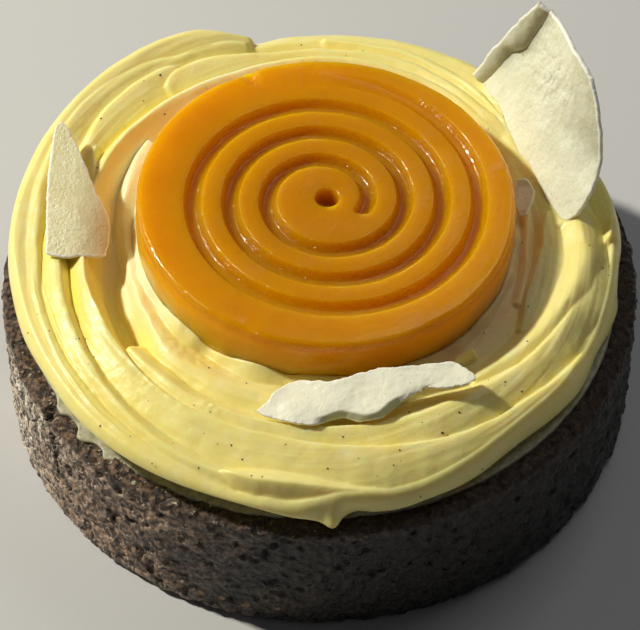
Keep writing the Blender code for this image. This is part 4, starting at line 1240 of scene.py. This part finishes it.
def standing_chip(name, piece_name, bend, look, seed):
    """A chip on a sloping plane; bend gives how far a point lies off the plane."""
    chip = CHIPS[name]
    heading, lean = math.radians(chip["heading"]), math.radians(chip["lean"])
    along = np.array([math.cos(heading), math.sin(heading), 0.0])
    back = np.array([-along[1], along[0], 0.0])
    rise = back * math.cos(lean) + np.array([0.0, 0.0, math.sin(lean)])
    flat = ragged(patch(chip, *STANDING_GRID), 1.0, 0.08, seed)
    side, height = flat[..., 0], flat[..., 1]
    spots = flat_spots(flat)
    grain = rough(spots, ((1.0, (0.6, 1.0, 1.0), seed + 5), (0.5, 0.35, seed + 6)))
    off = bend(side, height, spots) + chip["grain"] * grain
    points = np.array(chip["foot"]) + along * side[..., None] + rise * height[..., None]
    points = points + np.cross(along, rise) * off[..., None]
    thin_and_shade, coarse = chip_zones(name, side, height, spots)
    return sheet_object(piece_name, points, chip["thick"], look, thin_and_shade, coarse)


def chip_zones(name, side, height, spots):
    """Where a sloping chip is painted in shade, and where its face is coarse."""
    drift = rough(spots, CHIP_DRIFT)
    if name == "right":
        # Painted shade: the upper right, turned from the light, and the folded lip with the shadow it casts
        # on the face
        thin_and_shade = step(5.0, 11.0, height + drift) * step(11.0, 21.0, side + drift)
        band = np.exp(-(((side + drift - 8.5) / 5.0) ** 2) - ((height - 10.5) / 5.0) ** 2)
        from_crease = side - smooth_path(RIGHT_CREASE, height)[..., 0]
        lip = 0.9 * np.exp(-(((from_crease + 0.3) / 1.3) ** 2)) * step(2.0, 6.0, height)
        lip = np.maximum(lip, 0.45 * (1 - step(-0.3, 0.3, from_crease)))
        return np.maximum(0.75 * thin_and_shade, lip), band
    # Painted shade: the lower right
    thin_and_shade = step(3.0, 7.5, side + drift) * (1 - step(2.0, 12.0, height + drift))
    return thin_and_shade, 1 - step(2.0, 6.0, side + drift)


def right_bend(side, height, spots):
    """The right chip's hollow, its folded lip, its lean at the left and its wavy face."""
    share = (side - 9.75) / 14.45
    hollow = -0.6 * (1 - share**2) * np.clip(height / 14.0, 0.0, 1.0)
    hollow -= 0.004 * np.maximum(side - 11.0, 0.0) ** 2 * step(4.0, 11.0, height)
    crease = smooth_path(RIGHT_CREASE, height)[..., 0]
    fold = 1.5 * (1 - np.exp(-np.maximum(crease - side, 0.0) / 0.8))
    recline = -(0.6 + 0.03 * (height + 1.0)) * (1 - step(2.0, 13.0, side))
    kink = 0.10 * np.maximum(6.2 + 0.6 * np.sin(side * 0.5) - height, 0.0) - 0.5
    tall = np.where(height > 9.0, 0.011, 0.005) * (height - 9.0) ** 2
    waves = 0.10 * noise(spots, 3.0, 57) + 0.06 * noise(spots, 1.5, 58) * step(5.0, 8.0, height)
    middle = np.exp(-(((side - 8.5) / 5.5) ** 2) - ((height - 10.5) / 5.5) ** 2)
    return hollow + fold + recline + kink + tall + waves + middle * rough(spots, RIGHT_GRAIN)


def left_bend(side, height, spots):
    """The left chip's drooping right side and its slight wave."""
    droop = -0.07 * np.maximum(side - 3.0, 0.0) ** 2
    return droop + 0.25 * np.exp(-(((height - 5.0) / 4.0) ** 2)) * np.sin(side * 0.4)


def lying_chip(look):
    """The front chip, which lies over the ribbons with a flap bent down at its front."""
    flat = ragged(patch(LYING_EDGES, *LYING_GRID), 0.9, 0.12, 61)
    x, y = flat[..., 0], flat[..., 1]
    spots = flat_spots(flat)
    past_brink = smooth_path(FLAP, x)[..., 0] - y
    hang = zone(x, *FLAP_REACH)
    near, far = np.moveaxis(smooth_path(LYING_LEVELS, x), -1, 0)
    level = near + (far - near) * crowded(LYING_GRID[1])[:, None]
    level += rough(spots, LYING_WAVES) - FLAP_SLOPE * np.maximum(past_brink, 0.0) * hang
    points = np.stack([x, y - SIGHT_SLOPE * (level - LYING_READ), level], axis=-1)
    coarse = 0.25 + 0.25 * noise(spots, 2.0, 67)
    return sheet_object("chip_front", points, LYING_THICK, look, hang * step(-0.1, 0.25, past_brink), coarse)


def fragment(look):
    """The scrap beside the disc, on a plane that rises to the back."""
    flat = ragged(patch(FRAGMENT_EDGES, *FRAGMENT_GRID), 0.6, 0.05, 71)
    x, y = flat[..., 0], flat[..., 1]
    points = np.stack([x, y, FRAGMENT_LEVEL + FRAGMENT_SLOPE * (y - 4.6)], axis=-1)
    thin_and_shade = step(-0.4, 0.6, noise(flat_spots(flat), 1.5, 72))
    return sheet_object("chip_scrap", points, FRAGMENT_THICK, look, thin_and_shade, thin_and_shade * 0.3)


def dress(piece, node):
    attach(piece, "root")
    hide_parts(node)


camera()
surroundings()
# Each chip's tones are partly painted light: the front chip whitest as the most lit, the right chip greener
# and the scrap beige as painted shade, and the left chip yellower as a painted glow of the cream through it
whiter = coconut_material(
    "coconut front", (1.0, 0.99, 0.80), (0.99, 0.97, 0.75), (0.60, 0.62, 0.46), relief=0.055, glow=0.05)
upright = coconut_material("coconut right", (0.86, 0.90, 0.73), (0.80, 0.84, 0.65), (0.42, 0.45, 0.34), 0.10)
yellower = coconut_material("coconut left", (0.84, 0.79, 0.50), (0.79, 0.72, 0.42), (0.64, 0.54, 0.30), 0.10)
beige = coconut_material(
    "coconut scrap", (0.88, 0.80, 0.62), (0.80, 0.71, 0.52), (0.66, 0.54, 0.36), lit_edge=(0.86, 0.77, 0.58))
dress(crust(), "tart_shell")
dress(filling(), "filling")
dress(cream(), "cream_swirl")
dress(specks(), "cream_swirl")
dress(gel_disc(), "gel_disc")
dress(standing_chip("right", "chip_right", right_bend, upright, 51), "coconut_chip_right")
dress(standing_chip("left", "chip_left", left_bend, yellower, 54), "coconut_chip_left")
dress(lying_chip(whiter), "coconut_chip_front")
dress(fragment(beige), "coconut_fragment")
